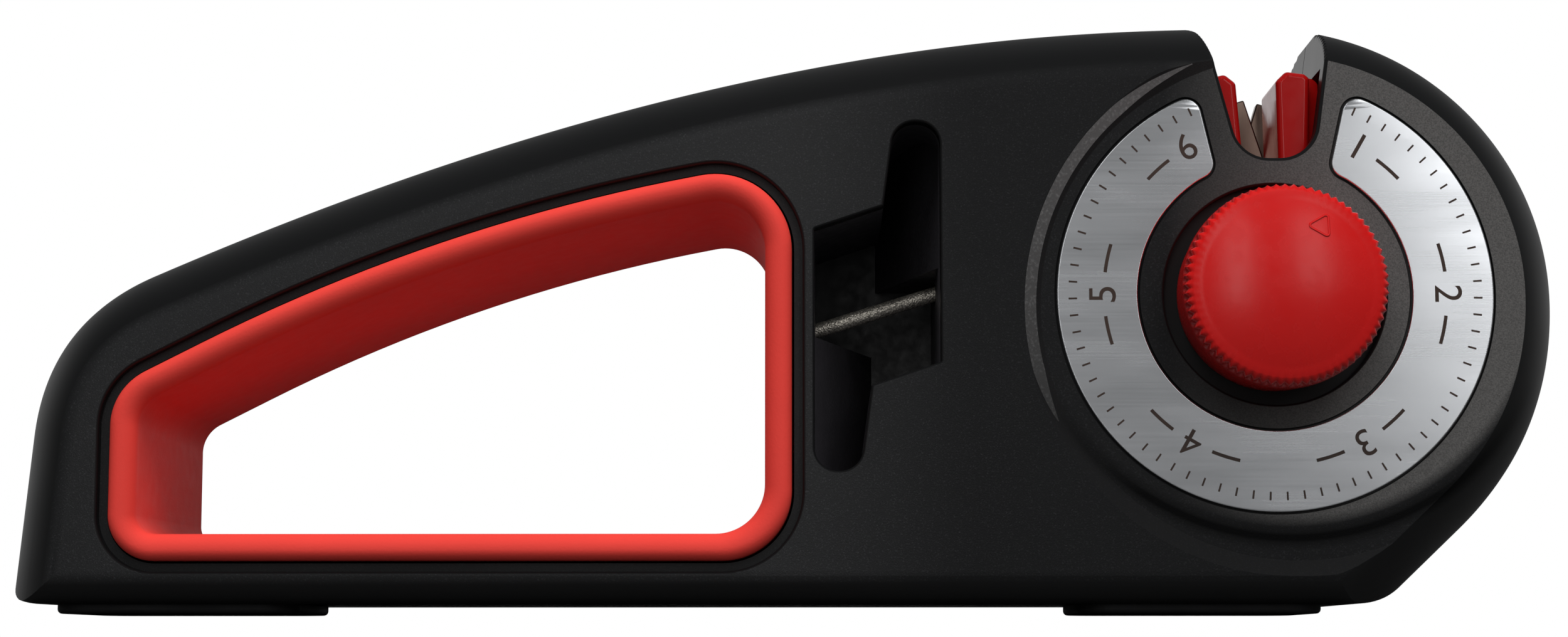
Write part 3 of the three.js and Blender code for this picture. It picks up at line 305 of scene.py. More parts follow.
class SharpenerDial(PropertyGroup):
    """Sizes of the dial face, its scale plate and the knob's well."""

    sink: size("Sink", "Dial face below the front face", 0.8)
    edge: size("Dial edge", "Radius of the dial face about its own middle", 33)
    step: size("Step", "Width of the crescent step", 2.2)
    shift: size("Shift", "Middle of the dial face from the axis", 3)
    shift_turn: slant("Shift turn", "Direction of that shift", -30)
    ring_outer: size("Ring outer", "Outer radius of the scale plate", 28.3)
    ring_inner: size("Ring inner", "Inner radius of the scale plate", 17.8)
    ring_gap: size("Ring gap", "Half width of the gap at the inner edge", 7.4)
    ring_flare: slant("Ring flare", "Lean of the gap's sides", 13)
    ring_corner: size("Ring corner", "Round corners of the plate", 2)
    ring_proud: size("Ring proud", "Plate in front of the dial face", 0.3)
    ring_thickness: size("Ring thickness", "Thickness of the plate", 0.7)
    ring_edge: size("Ring edge", "Round of the plate's front edge", 0.18)
    ring_fit: size("Ring fit", "Gap round the plate", 0.22)
    pocket_depth: size("Pocket depth", "Depth of the plate's pocket", 0.6)
    pocket_edge: size("Pocket edge", "Round of the pocket's edge", 0.15)
    well: size("Well", "Radius of the knob's well", 14.4)
    well_depth: size("Well depth", "Depth of the well", 2.2)
    disc: size("Disc", "Radius of the thick wall behind the well", 16.4)
    disc_back: size("Disc back", "Rear of that wall, from the parting plane", -14.4)
    figure: size("Figure", "Height of the figures", 3.6)
    figure_radius: size("Figure radius", "Middle of the figures from the axis", 22.2)
    tick_radius: size("Tick radius", "Inner end of the ticks", 25.7)
    print_height: size("Print height", "Thickness of the print", 0.02)
    # The band is a thin sheet beside the step that carries a painted highlight
    band_start: slant("Band start", "Direction of the crescent band's upper end", 112)
    band_end: slant("Band end", "Direction of its lower end", 206)
    band_proud: size("Band proud", "Band in front of the step", 0.03)
    band_root: size("Band root", "How far the band reaches into the shell", 0.3)
    band_place: share("Band place", "Middle of the band across the step", 0.62)
    band_half: share("Band half", "Half width of the band, as a share of the step", 0.35)
    band_swell: share("Band swell", "Share of the band's length that widens from its upper end", 0.2)
    band_fade: share("Band fade", "Share of its length that narrows to its lower end", 0.12)


class SharpenerKnob(PropertyGroup):
    """Sizes of the knob."""

    proud: size("Proud", "Knob in front of the front face", 12)
    radius: size("Radius", "Radius over the knurl", 12.95)
    teeth: IntProperty(name="Teeth", description="Teeth of the knurl", default=72, min=12)
    tooth: size("Tooth", "Depth of the knurl", 0.5)
    dome: size("Dome", "Height of the dome", 1.8)
    shoulder: size("Shoulder", "Round between dome and knurl", 1.5)
    band: size("Band", "Height of the knurled rim", 4.7)
    fade: size("Fade", "How far the knurl runs into the rim", 1.5)
    skirt: size("Skirt", "Radius of the skirt", 12.5)
    rim_slope: size("Rim slope", "Height of the slope behind the rim", 0.25)
    neck: size("Neck", "Slant between that slope and the skirt", 0.2)
    gap: size("Gap", "Between the skirt and the well's floor", 0.3)
    socket: size("Socket", "Radius of the axle's socket", 3.2)
    cover: size("Cover", "Front of the knob over the axle", 4.3)
    pointer: size("Pointer", "Side of the pointer triangle", 3.2)
    pointer_radius: size("Pointer radius", "Middle of the pointer from the axis", 8.4)
    pointer_line: size("Pointer line", "Half width of the pointer's rib", 0.16)
    pointer_rise: share("Pointer rise", "Height of the rib, as a share of its half width", 0.8)
    pointer_corner: size("Pointer corner", "Corners of the pointer triangle", 0.35)
    pointer_step: size("Pointer step", "Space between the points along it", 0.15)


class SharpenerTurret(PropertyGroup):
    """Sizes of the turret's halves and posts."""

    radius: size("Radius", "Radius over the posts", 30.4)
    hub: size("Hub", "Radius of the hub", 16.5)
    hub_front: size("Hub front", "Front of the hub, from the parting plane", -13.2)
    hub_room: size("Hub room", "Radius of the space before the hub", 17.2)
    back: size("Back", "Rear face, from the parting plane", 11.6)
    detent: size("Detent", "Radius of the detent ring", 11)
    detent_back: size("Detent back", "Rear of the detent ring", 14.2)
    scallop: size("Scallop", "Radius of a detent notch", 1.6)
    scallop_out: size("Scallop place", "Middle of a notch outside the detent ring", 0.5)
    post_front: size("Post front", "Front of the posts, from the parting plane", -15.4)
    layer: size("Layer", "Half of the space for the abrasives", 2.55)
    post_width: size("Post width", "Width of a post", 5.9)
    post_taper: size("Post taper", "How much narrower it is at the hub", 1.2)
    post_chamfer: size("Post chamfer", "Chamfer of its top", 1.4)
    post_edge: size("Post edge", "Round of its edges", 0.8)
    vee_top: size("V top", "Gap between two posts at the top", 5.3)
    vee_floor: size("V floor", "Gap between them at the hub", 4.7)
    vee_radius: size("V floor radius", "Radius where the gap ends", 18.5)
    post_face: size("Post face", "Width of a post's outer face", 4.5)
    post_ledge: size("Post ledge", "Depth of the ledge beside that face", 2.6)
    ledge_step: size("Ledge step", "Depth over which the ledge widens", 0.05)
    post_turn: slant("Post turn", "Turn of the front posts against the plates", 2.6)
    bore: size("Bore", "Radius of the axle's bore", 3.2)
    seat: size("Seat", "Radius of the screws' seats", 2.2)
    seat_floor: size("Seat floor", "Floor of these seats, from the parting plane", 12.5)
    screw_hole: size("Screw hole", "Radius of the screws' holes", 1.3)
    plate_edge: size("Plate edge", "Softened edges of the abrasive plates", 0.2)


class SharpenerScrew(PropertyGroup):
    """Sizes of a housing screw."""

    head: size("Head", "Height of the head", 2)
    dome: size("Dome", "Height of the head's dome", 0.7)
    shank: size("Shank", "Radius of the shank", 1.4)
    point: size("Point", "Length of the tapered point", 1.2)
    blunt: share("Blunt", "Radius of the tip, as a share of the shank", 0.5)
    cross_half: size("Cross half", "Half width of the driver's cross", 0.35)
    cross_reach: size("Cross reach", "Half length of the cross", 1.5)
    cross_depth: size("Cross depth", "Depth of the cross", 1.1)


class SharpenerFinish(PropertyGroup):
    """Colours of the finishes."""

    charcoal: colour("Charcoal", "Body plastic", 0.0050, 0.0052, 0.0055)
    grain: colour("Grain", "Grain of its flat faces", 0.0135, 0.0138, 0.0145)
    # Painted highlight: the light band stands for light caught by the dial's step
    crescent: colour("Crescent", "Light band along the dial's step", 0.105, 0.105, 0.105)
    # Painted light: the pale colour of the dial face where light falls on it
    painted_light: colour("Rubbed", "Dial face where hands rub it pale", 0.108, 0.105, 0.102)
    black: colour("Black", "Scissor guide", 0.008, 0.0075, 0.0085)
    red: colour("Red", "Knob", 0.55, 0.0065, 0.006)
    # Painted shade: a red darkened to stand for the shade the turret sits in
    drum: colour("Drum", "Turret drums and their posts", 0.30, 0.0040, 0.0038)
    coral: colour("Coral", "Liner of the finger opening", 0.76, 0.056, 0.043)
    aluminium: colour("Aluminium", "Scale plate", 0.84, 0.86, 0.89)
    ink: colour("Ink", "Print on the scale plate", 0.030, 0.017, 0.012)
    steel: colour("Steel", "Axle, screws and springs", 0.50, 0.50, 0.51)
    carbide: colour("Carbide", "Coarse plates", 0.32, 0.23, 0.185)
    diamond: colour("Diamond", "Coated plates and rods", 0.78, 0.73, 0.64)
    ceramic: colour("Ceramic", "Fine rods", 0.78, 0.76, 0.70)
    rubber: colour("Rubber", "Foot pads", 0.010, 0.010, 0.011)


class SharpenerStage(PropertyGroup):
    """Camera, lamps and floor."""

    eye: location("Eye", "Place of the camera", 0.00535, -0.3834, -0.0046)
    aim: FloatVectorProperty(
        name="Aim", description="Turn of the camera", subtype="EULER",
        default=(math.radians(96.59), 0.0, math.radians(0.84)),
    )
    sensor: FloatProperty(name="Sensor", description="Width of the sensor", default=36.0, unit="CAMERA")
    lens: FloatProperty(name="Lens", description="Focal length", default=65.7, unit="CAMERA")
    strip: share("Strips", "Watts of each front strip lamp", 0.40, 100.0)
    left_place: location("Left strip", "Place of the left strip lamp", -0.082, -0.68, 0.24)
    left_spread: extent("Left strip size", "Width and height of that lamp", 0.105, 0.46)
    right_place: location("Right strip", "Place of the right strip lamp", 0.29, -0.655, 0.29)
    right_spread: extent("Right strip size", "Width and height of that lamp", 0.15, 0.40)
    key: share("Key", "Watts of the soft lamp above the front", 10.0, 100.0)
    key_place: location("Key place", "Place of that lamp", 0.05, -0.42, 0.78)
    key_spread: extent("Key size", "Width and height of that lamp", 1.0, 0.6)
    fill: share("Fill", "Strength of the plain sky", 0.2, 5.0)
    front: share("Front", "Strength of the sky that gloss sees before the object", 0.22, 5.0)
    floor_reach: size("Floor reach", "Half width of the floor", 3000)
    floor_seen: colour("Floor", "Floor as the camera sees it", 0.8, 0.8, 0.8)
    floor_shade: colour("Floor shade", "Floor as all other rays see it", 0.1, 0.1, 0.1)


GROUPS = {
    "sharpener_body": SharpenerBody,
    "sharpener_notch": SharpenerNotch,
    "sharpener_handle": SharpenerHandle,
    "sharpener_slot": SharpenerSlot,
    "sharpener_dial": SharpenerDial,
    "sharpener_knob": SharpenerKnob,
    "sharpener_turret": SharpenerTurret,
    "sharpener_screw": SharpenerScrew,
    "sharpener_finish": SharpenerFinish,
    "sharpener_stage": SharpenerStage,
}


# Outlines

def unit(vectors):
    """Vectors scaled to length one."""
    return vectors / np.linalg.norm(vectors, axis=-1, keepdims=True)


def beside(vectors):
    """Vectors turned a quarter turn clockwise."""
    return np.stack([vectors[..., 1], -vectors[..., 0]], -1)


def polar(radius, turn):
    """Places at a radius and a turn, counter-clockwise from +X."""
    return np.stack([radius * np.cos(turn), radius * np.sin(turn)], -1)


def spun(places, turn):
    """Places turned about the origin, counter-clockwise."""
    cos, sin = np.cos(turn), np.sin(turn)
    x, z = places[..., 0], places[..., 1]
    return np.stack([x * cos - z * sin, x * sin + z * cos], -1)


def crossing(place, along, other, aside):
    """Where two lines meet, each a place and a direction."""
    gap = other - place
    reach = (gap[0] * aside[1] - gap[1] * aside[0]) / (along[0] * aside[1] - along[1] * aside[0])
    return place + along * reach


def bezier(controls, count=CURVE_POINTS):
    """A Bezier curve: its controls weighted by the Bernstein polynomials of an even parameter."""
    controls = np.asarray(controls)
    degree = len(controls) - 1
    t = np.linspace(0, 1, count)[:, None]
    weights = [math.comb(degree, k) * t ** k * (1 - t) ** (degree - k) for k in range(degree + 1)]
    return np.concatenate(weights, 1) @ controls


def area(outline):
    """Signed area of a closed outline, above zero where it runs counter-clockwise."""
    after = np.roll(outline, -1, 0)
    return 0.5 * np.sum(outline[:, 0] * after[:, 1] - outline[:, 1] * after[:, 0])


def distinct(outline):
    """A closed outline without repeated points, run counter-clockwise."""
    steps = np.linalg.norm(np.roll(outline, -1, 0) - outline, axis=1)
    kept = outline[steps > SAME]
    return kept if area(kept) > 0 else kept[::-1]


def rounded(corners, radii, steps=None):
    """A closed outline whose corners become arcs that touch both of their sides, in set or fine steps."""
    corners = np.asarray(corners, float)
    befores, afters = np.roll(corners, 1, 0), np.roll(corners, -1, 0)
    parts = []
    for before, corner, after, radius in zip(befores, corners, afters, radii):
        if radius == 0:
            parts.append(corner[None])
            continue
        back, ahead = unit(before - corner), unit(after - corner)
        half = math.acos(np.clip(back @ ahead, -1, 1)) / 2
        middle = corner + unit(back + ahead) * radius / math.sin(half)
        start = corner + back * radius / math.tan(half) - middle
        turn = np.sign(back[0] * ahead[1] - back[1] * ahead[0]) * (math.pi - 2 * half)
        count = steps or max(2, math.ceil(abs(turn) / FACET))
        parts.append(middle + spun(start, -turn * np.linspace(0, 1, count + 1)))
    return distinct(np.concatenate(parts))


def grown(outline, distance):
    """A counter-clockwise outline moved out along its mitred normals, by one distance or one per point."""
    ahead = unit(np.roll(outline, -1, 0) - outline)
    behind = np.roll(ahead, 1, 0)
    out = unit(beside(ahead + behind))
    stretch = np.sum(out * beside(behind), 1)
    return outline + out * (np.asarray(distance) / stretch)[:, None]


def inward_room(outline):
    """How far a convex outline can be drawn in before its shortest side is used up."""
    step = np.roll(outline, -1, 0) - outline
    ahead = unit(step)
    behind = np.roll(ahead, 1, 0)
    bend = np.arctan2(behind[:, 0] * ahead[:, 1] - behind[:, 1] * ahead[:, 0], np.sum(behind * ahead, 1))
    half = np.tan(np.abs(bend) / 2)
    return np.min(np.linalg.norm(step, axis=1) / (half + np.roll(half, -1) + 1e-9))


def inset_from(outline, places):
    """Distance of places inside a closed outline, below zero outside of it."""
    step = np.roll(outline, -1, 0) - outline
    gap = places[:, None] - outline[None]
    along = np.clip(np.sum(gap * step, -1) / np.sum(step * step, -1), 0, 1)
    distance = np.linalg.norm(gap - along[..., None] * step, axis=-1).min(1)
    after = np.roll(outline, -1, 0)
    spans = (outline[None, :, 1] > places[:, None, 1]) != (after[None, :, 1] > places[:, None, 1])
    rise = np.where(np.abs(step[:, 1]) < 1e-12, 1e-12, step[:, 1])
    reach = outline[None, :, 0] + (places[:, None, 1] - outline[None, :, 1]) * step[:, 0] / rise
    inside = np.sum(spans & (places[:, None, 0] < reach), 1) % 2
    return np.where(inside, distance, -distance)


def circle(radius, middle, count):
    """A round outline about its middle."""
    return polar(radius, np.linspace(0, 2 * math.pi, count, endpoint=False)) + middle


def quarter(radius, steps=FILLET_STEPS):
    """Insets r (1 - cos t) and rises r sin t along a quarter circle, t from zero to a right angle."""
    t = np.linspace(0, math.pi / 2, steps + 1)
    return radius * (1 - np.cos(t)), radius * np.sin(t)


# Meshes

def ring(outline, depth):
    """An outline set at a depth from the parting plane."""
    y = np.broadcast_to(np.asarray(depth, float) + MIDDLE, len(outline))
    return np.column_stack([outline[:, 0], y, outline[:, 1]])


def filled(places):
    """Faces over a flat ring, wound as it runs: triangles, or one face where they would miss points."""
    parts = np.array(tessellate_polygon([[Vector(corner) for corner in places / MM]]))
    if len(parts) != len(places) - 2:
        return np.arange(len(places))[None]
    first, second, third = places[parts].transpose(1, 0, 2)
    spokes = places - places.mean(0)
    facing = np.cross(spokes, np.roll(spokes, -1, 0)).sum(0)
    turned = np.cross(second - first, third - first) @ facing < 0
    parts[turned] = parts[turned, ::-1]
    return parts


def lofted(rings, closed=False):
    """Vertices and faces of a closed skin through rings of equal count: quads between neighbours, capped at
    both ends, or run on from the last ring to the first."""
    rings = np.asarray(rings)
    rows, around = rings.shape[:2]
    index = np.arange(rows * around).reshape(rows, around)
    lower = index if closed else index[:-1]
    upper = np.roll(index, -1, 0) if closed else index[1:]
    quads = np.stack([lower, np.roll(lower, -1, 1), np.roll(upper, -1, 1), upper], -1).reshape(-1, 4)
    vertices = rings.reshape(-1, 3)
    faces = quads.tolist()
    if not closed:
        faces += index[0][filled(rings[0])][:, ::-1].tolist()
        faces += index[-1][filled(rings[-1])].tolist()
    return vertices, faces


def volume(vertices, faces):
    """Six times the enclosed volume, each face taken as a fan: below zero where faces point inwards."""
    total = 0.0
    sizes = np.array([len(face) for face in faces])
    for count in np.unique(sizes):
        same = np.array([face for face in faces if len(face) == count])
        corners = vertices[same] - vertices.mean(0)
        fans = np.cross(corners[:, 1:-1], corners[:, 2:])
        total += np.sum(corners[:, :1] * fans)
    return total


def mesh_of(name, vertices, faces):
    """A mesh with its faces pointing out and its repeated points merged."""
    if volume(vertices, faces) < 0:
        faces = [face[::-1] for face in faces]
    mesh = bpy.data.meshes.new(name)
    mesh.from_pydata(vertices, [], faces)
    merge(mesh)
    return mesh


def merge(mesh, reach=SAME, flat=0.0):
    """Merges repeated points, and where an angle is given dissolves edges flatter than it."""
    work = bmesh.new()
    work.from_mesh(mesh)
    bmesh.ops.remove_doubles(work, verts=work.verts, dist=reach)
    bmesh.ops.dissolve_degenerate(work, edges=work.edges, dist=reach)
    if flat:
        bmesh.ops.dissolve_limit(work, verts=work.verts, edges=work.edges, angle_limit=flat)
    work.to_mesh(mesh)
    work.free()


def solid(rings, closed=False):
    """A lofted skin as a loose object, for joining and cutting."""
    thing = bpy.data.objects.new("solid", mesh_of("solid", *lofted(rings, closed)))
    bpy.context.scene.collection.objects.link(thing)
    return thing


def combined(base, *steps):
    """The base solid with (operation, solid) steps applied in order. The solids it takes are used up."""
    for operation, tool in steps:
        modifier = base.modifiers.new(operation, "BOOLEAN")
        modifier.operation = operation
        modifier.solver = "MANIFOLD"
        modifier.object = tool
    bpy.context.view_layer.update()
    depsgraph = bpy.context.evaluated_depsgraph_get()
    result = bpy.data.meshes.new_from_object(base.evaluated_get(depsgraph))
    if not len(result.polygons):
        raise RuntimeError(f"nothing is left after {[operation for operation, _ in steps]}")
    base.modifiers.clear()
    old = base.data
    base.data = result
    bpy.data.meshes.remove(old)
    for _, tool in steps:
        data = tool.data
        bpy.data.objects.remove(tool)
        bpy.data.meshes.remove(data)
    return base


def united(solids):
    """Several solids joined to one."""
    first, *others = solids
    return combined(first, *[("UNION", other) for other in others])


def cut(base, *tools):
    """A solid without what the tools fill."""
    return combined(base, *[("DIFFERENCE", tool) for tool in tools])


def common(base, *tools):
    """What a solid shares with the tools."""
    return combined(base, *[("INTERSECT", tool) for tool in tools])


def plate(outline, start, end):
    """An outline carried from one depth to another."""
    return solid([ring(outline, start), ring(outline, end)])


def peg(radius, start, end, middle=HUB, count=BORE_POINTS):
    """A round solid along Y from one depth to another."""
    return plate(circle(radius, middle, count), start, end)


def tower(outline, low, high):
    """An X-Y outline carried up from one height to another."""
    return solid([np.column_stack([outline, np.full(len(outline), z)]) for z in (low, high)])


def sunk(outline, floor, face, fillet, side):
    """A cutter from a floor depth out through a face. Near the face it opens by a quarter circle, so that
    the edge it leaves is round: the outline grows by r (1 - cos t) at r (1 - sin t) under the face."""
    opening, rise = quarter(fillet)
    depths = face - (fillet - rise - SKIM)
    rings = [ring(outline, side * floor)]
    rings += [ring(grown(outline, grow), side * depth) for grow, depth in zip(opening, depths)]
    rings.append(ring(grown(outline, fillet), side * (face + PROUD * 2)))
    return solid(rings)


def revolved(profile, count, middle):
    """Rings of a profile of (radius, depth) points turned about the Y axis through a middle."""
    return [ring(circle(radius, middle, count), depth) for radius, depth in profile]


def smoothed(thing, angle=SHARP):
    """Smooth shading with edges kept sharp past an angle, and normals that flat faces lead."""
    mesh = thing.data
    mesh.shade_smooth()
    mesh.set_sharp_from_angle(angle=angle)
    lead = thing.modifiers.new("flat_faces_lead", "WEIGHTED_NORMAL")
    lead.keep_sharp = True
    lead.weight = 100


def finished(thing, name, body, material, nodes=(), angle=SHARP):
    """Names a piece, gives it its finish and sets it on its body in place of CAD nodes."""
    thing.name = name
    thing.data.name = name
    merge(thing.data)
    thing.data.materials.clear()
    thing.data.materials.append(material)
    smoothed(thing, angle)
    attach(thing, body)
    if nodes:
        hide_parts(*nodes)
    return thing


# Finishes

class Nodes:
    """A node tree under construction: nodes are added by kind and linked as they are made."""

    def __init__(self, tree):
        self.tree = tree

    def add(self, kind, inputs=None, **settings):
        """A node with its settings, and its inputs linked or set by name or number."""
        node = self.tree.nodes.new("ShaderNode" + kind)
        for key, value in settings.items():
            setattr(node, key, value)
        for key, value in (inputs or {}).items():
            if isinstance(value, bpy.types.NodeSocket):
                self.tree.links.new(value, node.inputs[key])
            else:
                node.inputs[key].default_value = value
        return node

    def ranged(self, value, low, high, to_low=0.0, to_high=1.0):
        """A value carried from one range to another, and kept inside it."""
        wanted = {"Value": value, "From Min": low, "From Max": high, "To Min": to_low, "To Max": to_high}
        return self.add("MapRange", wanted).outputs["Result"]

    def math(self, operation, first, second=0.0):
        """The result of a sum, product or the like."""
        return self.add("Math", {0: first, 1: second}, operation=operation).outputs[0]

    def times(self, first, second):
        """The product of two values."""
        return self.math("MULTIPLY", first, second)

    def split(self, vector):
        """The X, Y and Z of a vector, by name."""
        return self.add("SeparateXYZ", {"Vector": vector}).outputs

    def mixed(self, factor, first, second):
        """One shader over another."""
        return self.add("MixShader", {"Fac": factor, 1: first, 2: second}).outputs[0]


class Finish(Nodes):
    """A material under construction, on its principled shader and object coordinates."""

    def __init__(self, name):
        self.material = bpy.data.materials.new(name)
        self.material.use_nodes = True
        super().__init__(self.material.node_tree)
        self.shader = self.tree.nodes["Principled BSDF"]
        self.place = self.add("TexCoord").outputs["Object"]

    def plain(self, tint, roughness, metallic=0.0, **others):
        """Sets the shader's own values."""
        values = {"Base Color": (*tint, 1), "Roughness": roughness, "Metallic": metallic, **others}
        for key, value in values.items():
            self.shader.inputs[key].default_value = value

    def give(self, key, socket):
        """Links a socket to one of the shader's inputs."""
        self.tree.links.new(socket, self.shader.inputs[key])

    def noise(self, scale, detail=2.0, stretch=None, turn=(0, 0, 0), roughness=0.5):
        """Noise on object coordinates, its grains about 1 / scale wide."""
        spot = self.place
        if stretch:
            drawn_out = self.add("Mapping", {"Vector": spot, "Rotation": turn, "Scale": stretch})
            spot = drawn_out.outputs["Vector"]
        wanted = {"Vector": spot, "Scale": scale, "Detail": detail, "Roughness": roughness}
        return self.add("TexNoise", wanted).outputs["Fac"]

    def tinted(self, factor, first, second):
        """One colour over another, each a socket or three numbers."""
        ends = {
            key: tint if isinstance(tint, bpy.types.NodeSocket) else (*tint, 1)
            for key, tint in (("A", first), ("B", second))
        }
        return self.add("Mix", {"Factor": factor, **ends}, data_type="RGBA").outputs["Result"]

    def facing(self):
        """How squarely a surface faces the front or the rear, from 0 to 1."""
        return self.math("ABSOLUTE", self.split(self.add("NewGeometry").outputs["Normal"])["Y"])

    def bumped(self, height, strength, distance):
        """Gives the shader a fine relief."""
        node = self.add("Bump", {"Height": height, "Strength": strength, "Distance": distance})
        self.give("Normal", node.outputs["Normal"])


def shaded(tint, factor):
    """A colour made lighter or darker."""
    return tuple(min(1.0, channel * factor) for channel in tint)


def finish(name, make):
    """The named material, made the first time that it is asked for."""
    found = bpy.data.materials.get(name)
    if found:
        return found
    work = Finish(name)
    make(work, bpy.context.scene.sharpener_finish)
    return work.material


def dial_light_and_shade(work, spot):
    """How far the dial face is painted pale as light, and how far its lower edge is painted dark as shade.

    The painted light lies inside a radius of a place beside the dial's middle and grows away from the
    handle.
    The painted shade is a soft ring about that place that grows downwards, along the shaded edge of the dial
    face.
    """
    middle = Vector((AXIS[0] + LIT_SHIFT[0], MIDDLE - HALF, AXIS[2] + LIT_SHIFT[1]))
    away = work.add("VectorMath", {0: work.place, 1: middle}, operation="DISTANCE").outputs["Value"]
    inside = work.ranged(away, LIT_RADIUS - 1.5 * MM, LIT_RADIUS, 1.0, 0.0)
    lit_ramp = work.ranged(spot["X"], AXIS[0] - 14 * MM, AXIS[0] + 8 * MM)
    from_ring = work.math("ABSOLUTE", work.math("SUBTRACT", away, SHADE_RADIUS))
    shade_ring = work.ranged(from_ring, 0.3 * MM, 1.7 * MM, 1.0, 0.0)
    shade_ramp = work.ranged(spot["Z"], AXIS[2] - 26 * MM, AXIS[2] - 10 * MM, 1.0, 0.0)
    return work.times(inside, lit_ramp), work.times(shade_ring, shade_ramp)


def charcoal_grain(work, tints):
    """Spark-eroded grain on the flat faces, fading to satin where the form turns away from front and rear.

    The grain is darker towards the head. The dial face has painted light, pale on the side away from the
    handle, and painted shade along its lower edge.
    """
    tint, shine = tuple(tints.charcoal), 0.3
    work.plain(tint, 0.5)
    facing = work.facing()
    spot = work.split(work.place)
    from_middle = work.math("ABSOLUTE", work.math("SUBTRACT", spot["Y"], MIDDLE))
    outer = work.ranged(from_middle, HALF - 2 * MM, HALF - 1 * MM)
    flat = work.times(outer, work.ranged(facing, 0.90, 0.995))
    grain = work.noise(5200, 3.0, roughness=0.6)
    cover = work.times(flat, work.ranged(spot["X"], 5 * MM, 22 * MM, 1.0, 0.5))
    speck = work.times(cover, work.ranged(work.noise(4600), 0.56, 0.78))
    ground = work.tinted(cover, tint, tuple(tints.grain))
    grained = work.tinted(speck, ground, shaded(tints.grain, 2.6))

    # Painted light on the dial face, and painted shade in a ring along its lower edge, which also loses
    # gloss
    pale, painted_shade = dial_light_and_shade(work, spot)
    pale = work.times(work.times(flat, pale), work.ranged(grain, 0.35, 0.65, 0.55, 1.0))
    painted_light = work.tinted(pale, grained, tuple(tints.painted_light))
    work.give("Base Color", work.tinted(painted_shade, painted_light, shaded(tint, 0.4)))
    head = work.times(flat, work.ranged(spot["X"], 0.0, 25 * MM, 0.0, 0.18))
    loss = work.math("MAXIMUM", head, work.times(painted_shade, 0.24))
    work.give("Specular IOR Level", work.math("SUBTRACT", shine, loss))

    cloud = work.ranged(work.noise(45), 0.3, 0.7, -0.03, 0.03)
    satin = work.math("ADD", work.ranged(facing, 0.02, 0.3, 0.36, 0.54), cloud)
    work.give("Roughness", work.math("SUBTRACT", satin, work.times(flat, 0.1)))
    work.bumped(grain, work.times(flat, 0.35), 0.00012)


def crescent_grain(work, tints):
    """A painted highlight along the step over the body's grain: grey with light and dark grains, lighter at
    the top as if lit from above.
    """
    tint = tuple(tints.crescent)
    work.plain(tint, 0.6, **{"Specular IOR Level": 0.3})
    # Painted light: the band is lighter towards the top
    lit_ramp = work.ranged(work.split(work.place)["Z"], 20 * MM, 66 * MM)
    grain = work.noise(2600, 3.0)
    ground = work.tinted(lit_ramp, shaded(tint, 0.12), tint)
    speck = work.times(lit_ramp, work.ranged(grain, 0.5, 0.75))
    work.give("Base Color", work.tinted(speck, ground, shaded(tint, 1.7)))
    work.give("Roughness", work.ranged(grain, 0.3, 0.7, 0.55, 0.68))
    work.bumped(grain, 0.3, 0.0001)


def black_moulding(work, tints):
    """Dull moulded plastic with a faint grain: painted shade makes it black on the floor, and painted light
    greyer on the walls and ramps.
    """
    tint = tuple(tints.black)
    work.plain(tint, 0.5)
    # Painted light on the walls and ramps, painted shade on the floor that faces the front
    painted_light = work.ranged(work.facing(), 0.15, 0.6, 1.0, 0.0)
    wall = work.tinted(work.noise(300), shaded(tint, 6.0), shaded(tint, 8.0))
    work.give("Base Color", work.tinted(painted_light, shaded(tint, 0.3), wall))
    work.give("Roughness", work.ranged(work.noise(700), 0.3, 0.7, 0.42, 0.58))
    work.bumped(work.noise(2200), 0.15, 0.0001)


def red_plastic(key, roughness, grain, shine):
    """Coloured plastic, mottled a little, with a fine grain and small changes of gloss."""
    def make(work, tints):
        tint = tuple(getattr(tints, key))
        work.plain(tint, roughness, **{"Specular IOR Level": shine})
        work.give("Base Color", work.tinted(work.noise(70, 3.0), shaded(tint, 0.93), shaded(tint, 1.06)))
        gloss = work.noise(500, 3.0)
        work.give("Roughness", work.ranged(gloss, 0.3, 0.7, roughness - 0.04, roughness + 0.04))
        work.bumped(work.noise(2800), grain, 0.0001)
    return make


def brushed_aluminium(work, tints):
    """Straight brushing that rises to the right: noise drawn out along it sets gloss, tint and lines."""
    tint = tuple(tints.aluminium)
    rise = (0, BRUSHING_RISE, 0)
    line = work.noise(60, 4.0, stretch=(0.6, 60, 60), turn=rise, roughness=0.7)
    soft = work.noise(45, stretch=(1.0, 1.0, 4.0), turn=rise)
    work.plain(tint, 0.3, 1.0, Anisotropic=0.5)
    work.give("Base Color", work.tinted(line, shaded(tint, 0.95), shaded(tint, 1.04)))
    sheen = work.ranged(soft, 0.35, 0.65, -0.03, 0.03)
    work.give("Roughness", work.math("ADD", work.ranged(line, 0.3, 0.7, 0.22, 0.27), sheen))
    across = work.add("Tangent", direction_type="UV_MAP", uv_map=BRUSHING)
    work.give("Tangent", across.outputs["Tangent"])
    work.bumped(line, 0.03, 0.00003)


def printing_ink(work, tints):
    """Matt ink, a little uneven."""
    tint = tuple(tints.ink)
    work.plain(tint, 0.55)
    work.give("Base Color", work.tinted(work.noise(900, 3.0), shaded(tint, 0.8), shaded(tint, 1.5)))
    work.bumped(work.noise(3000), 0.1, 0.00003)


def ground_metal(key, roughness, stretch):
    """Metal with lines of grinding drawn out along one direction."""
    def make(work, tints):
        tint = tuple(getattr(tints, key))
        line = work.noise(140, 4.0, stretch=stretch, roughness=0.7)
        work.plain(tint, roughness, 1.0)
        work.give("Base Color", work.tinted(line, shaded(tint, 0.75), shaded(tint, 1.2)))
        work.give("Roughness", work.ranged(line, 0.3, 0.7, roughness - 0.08, roughness + 0.08))
        work.bumped(line, 0.15, 0.00005)
    return make


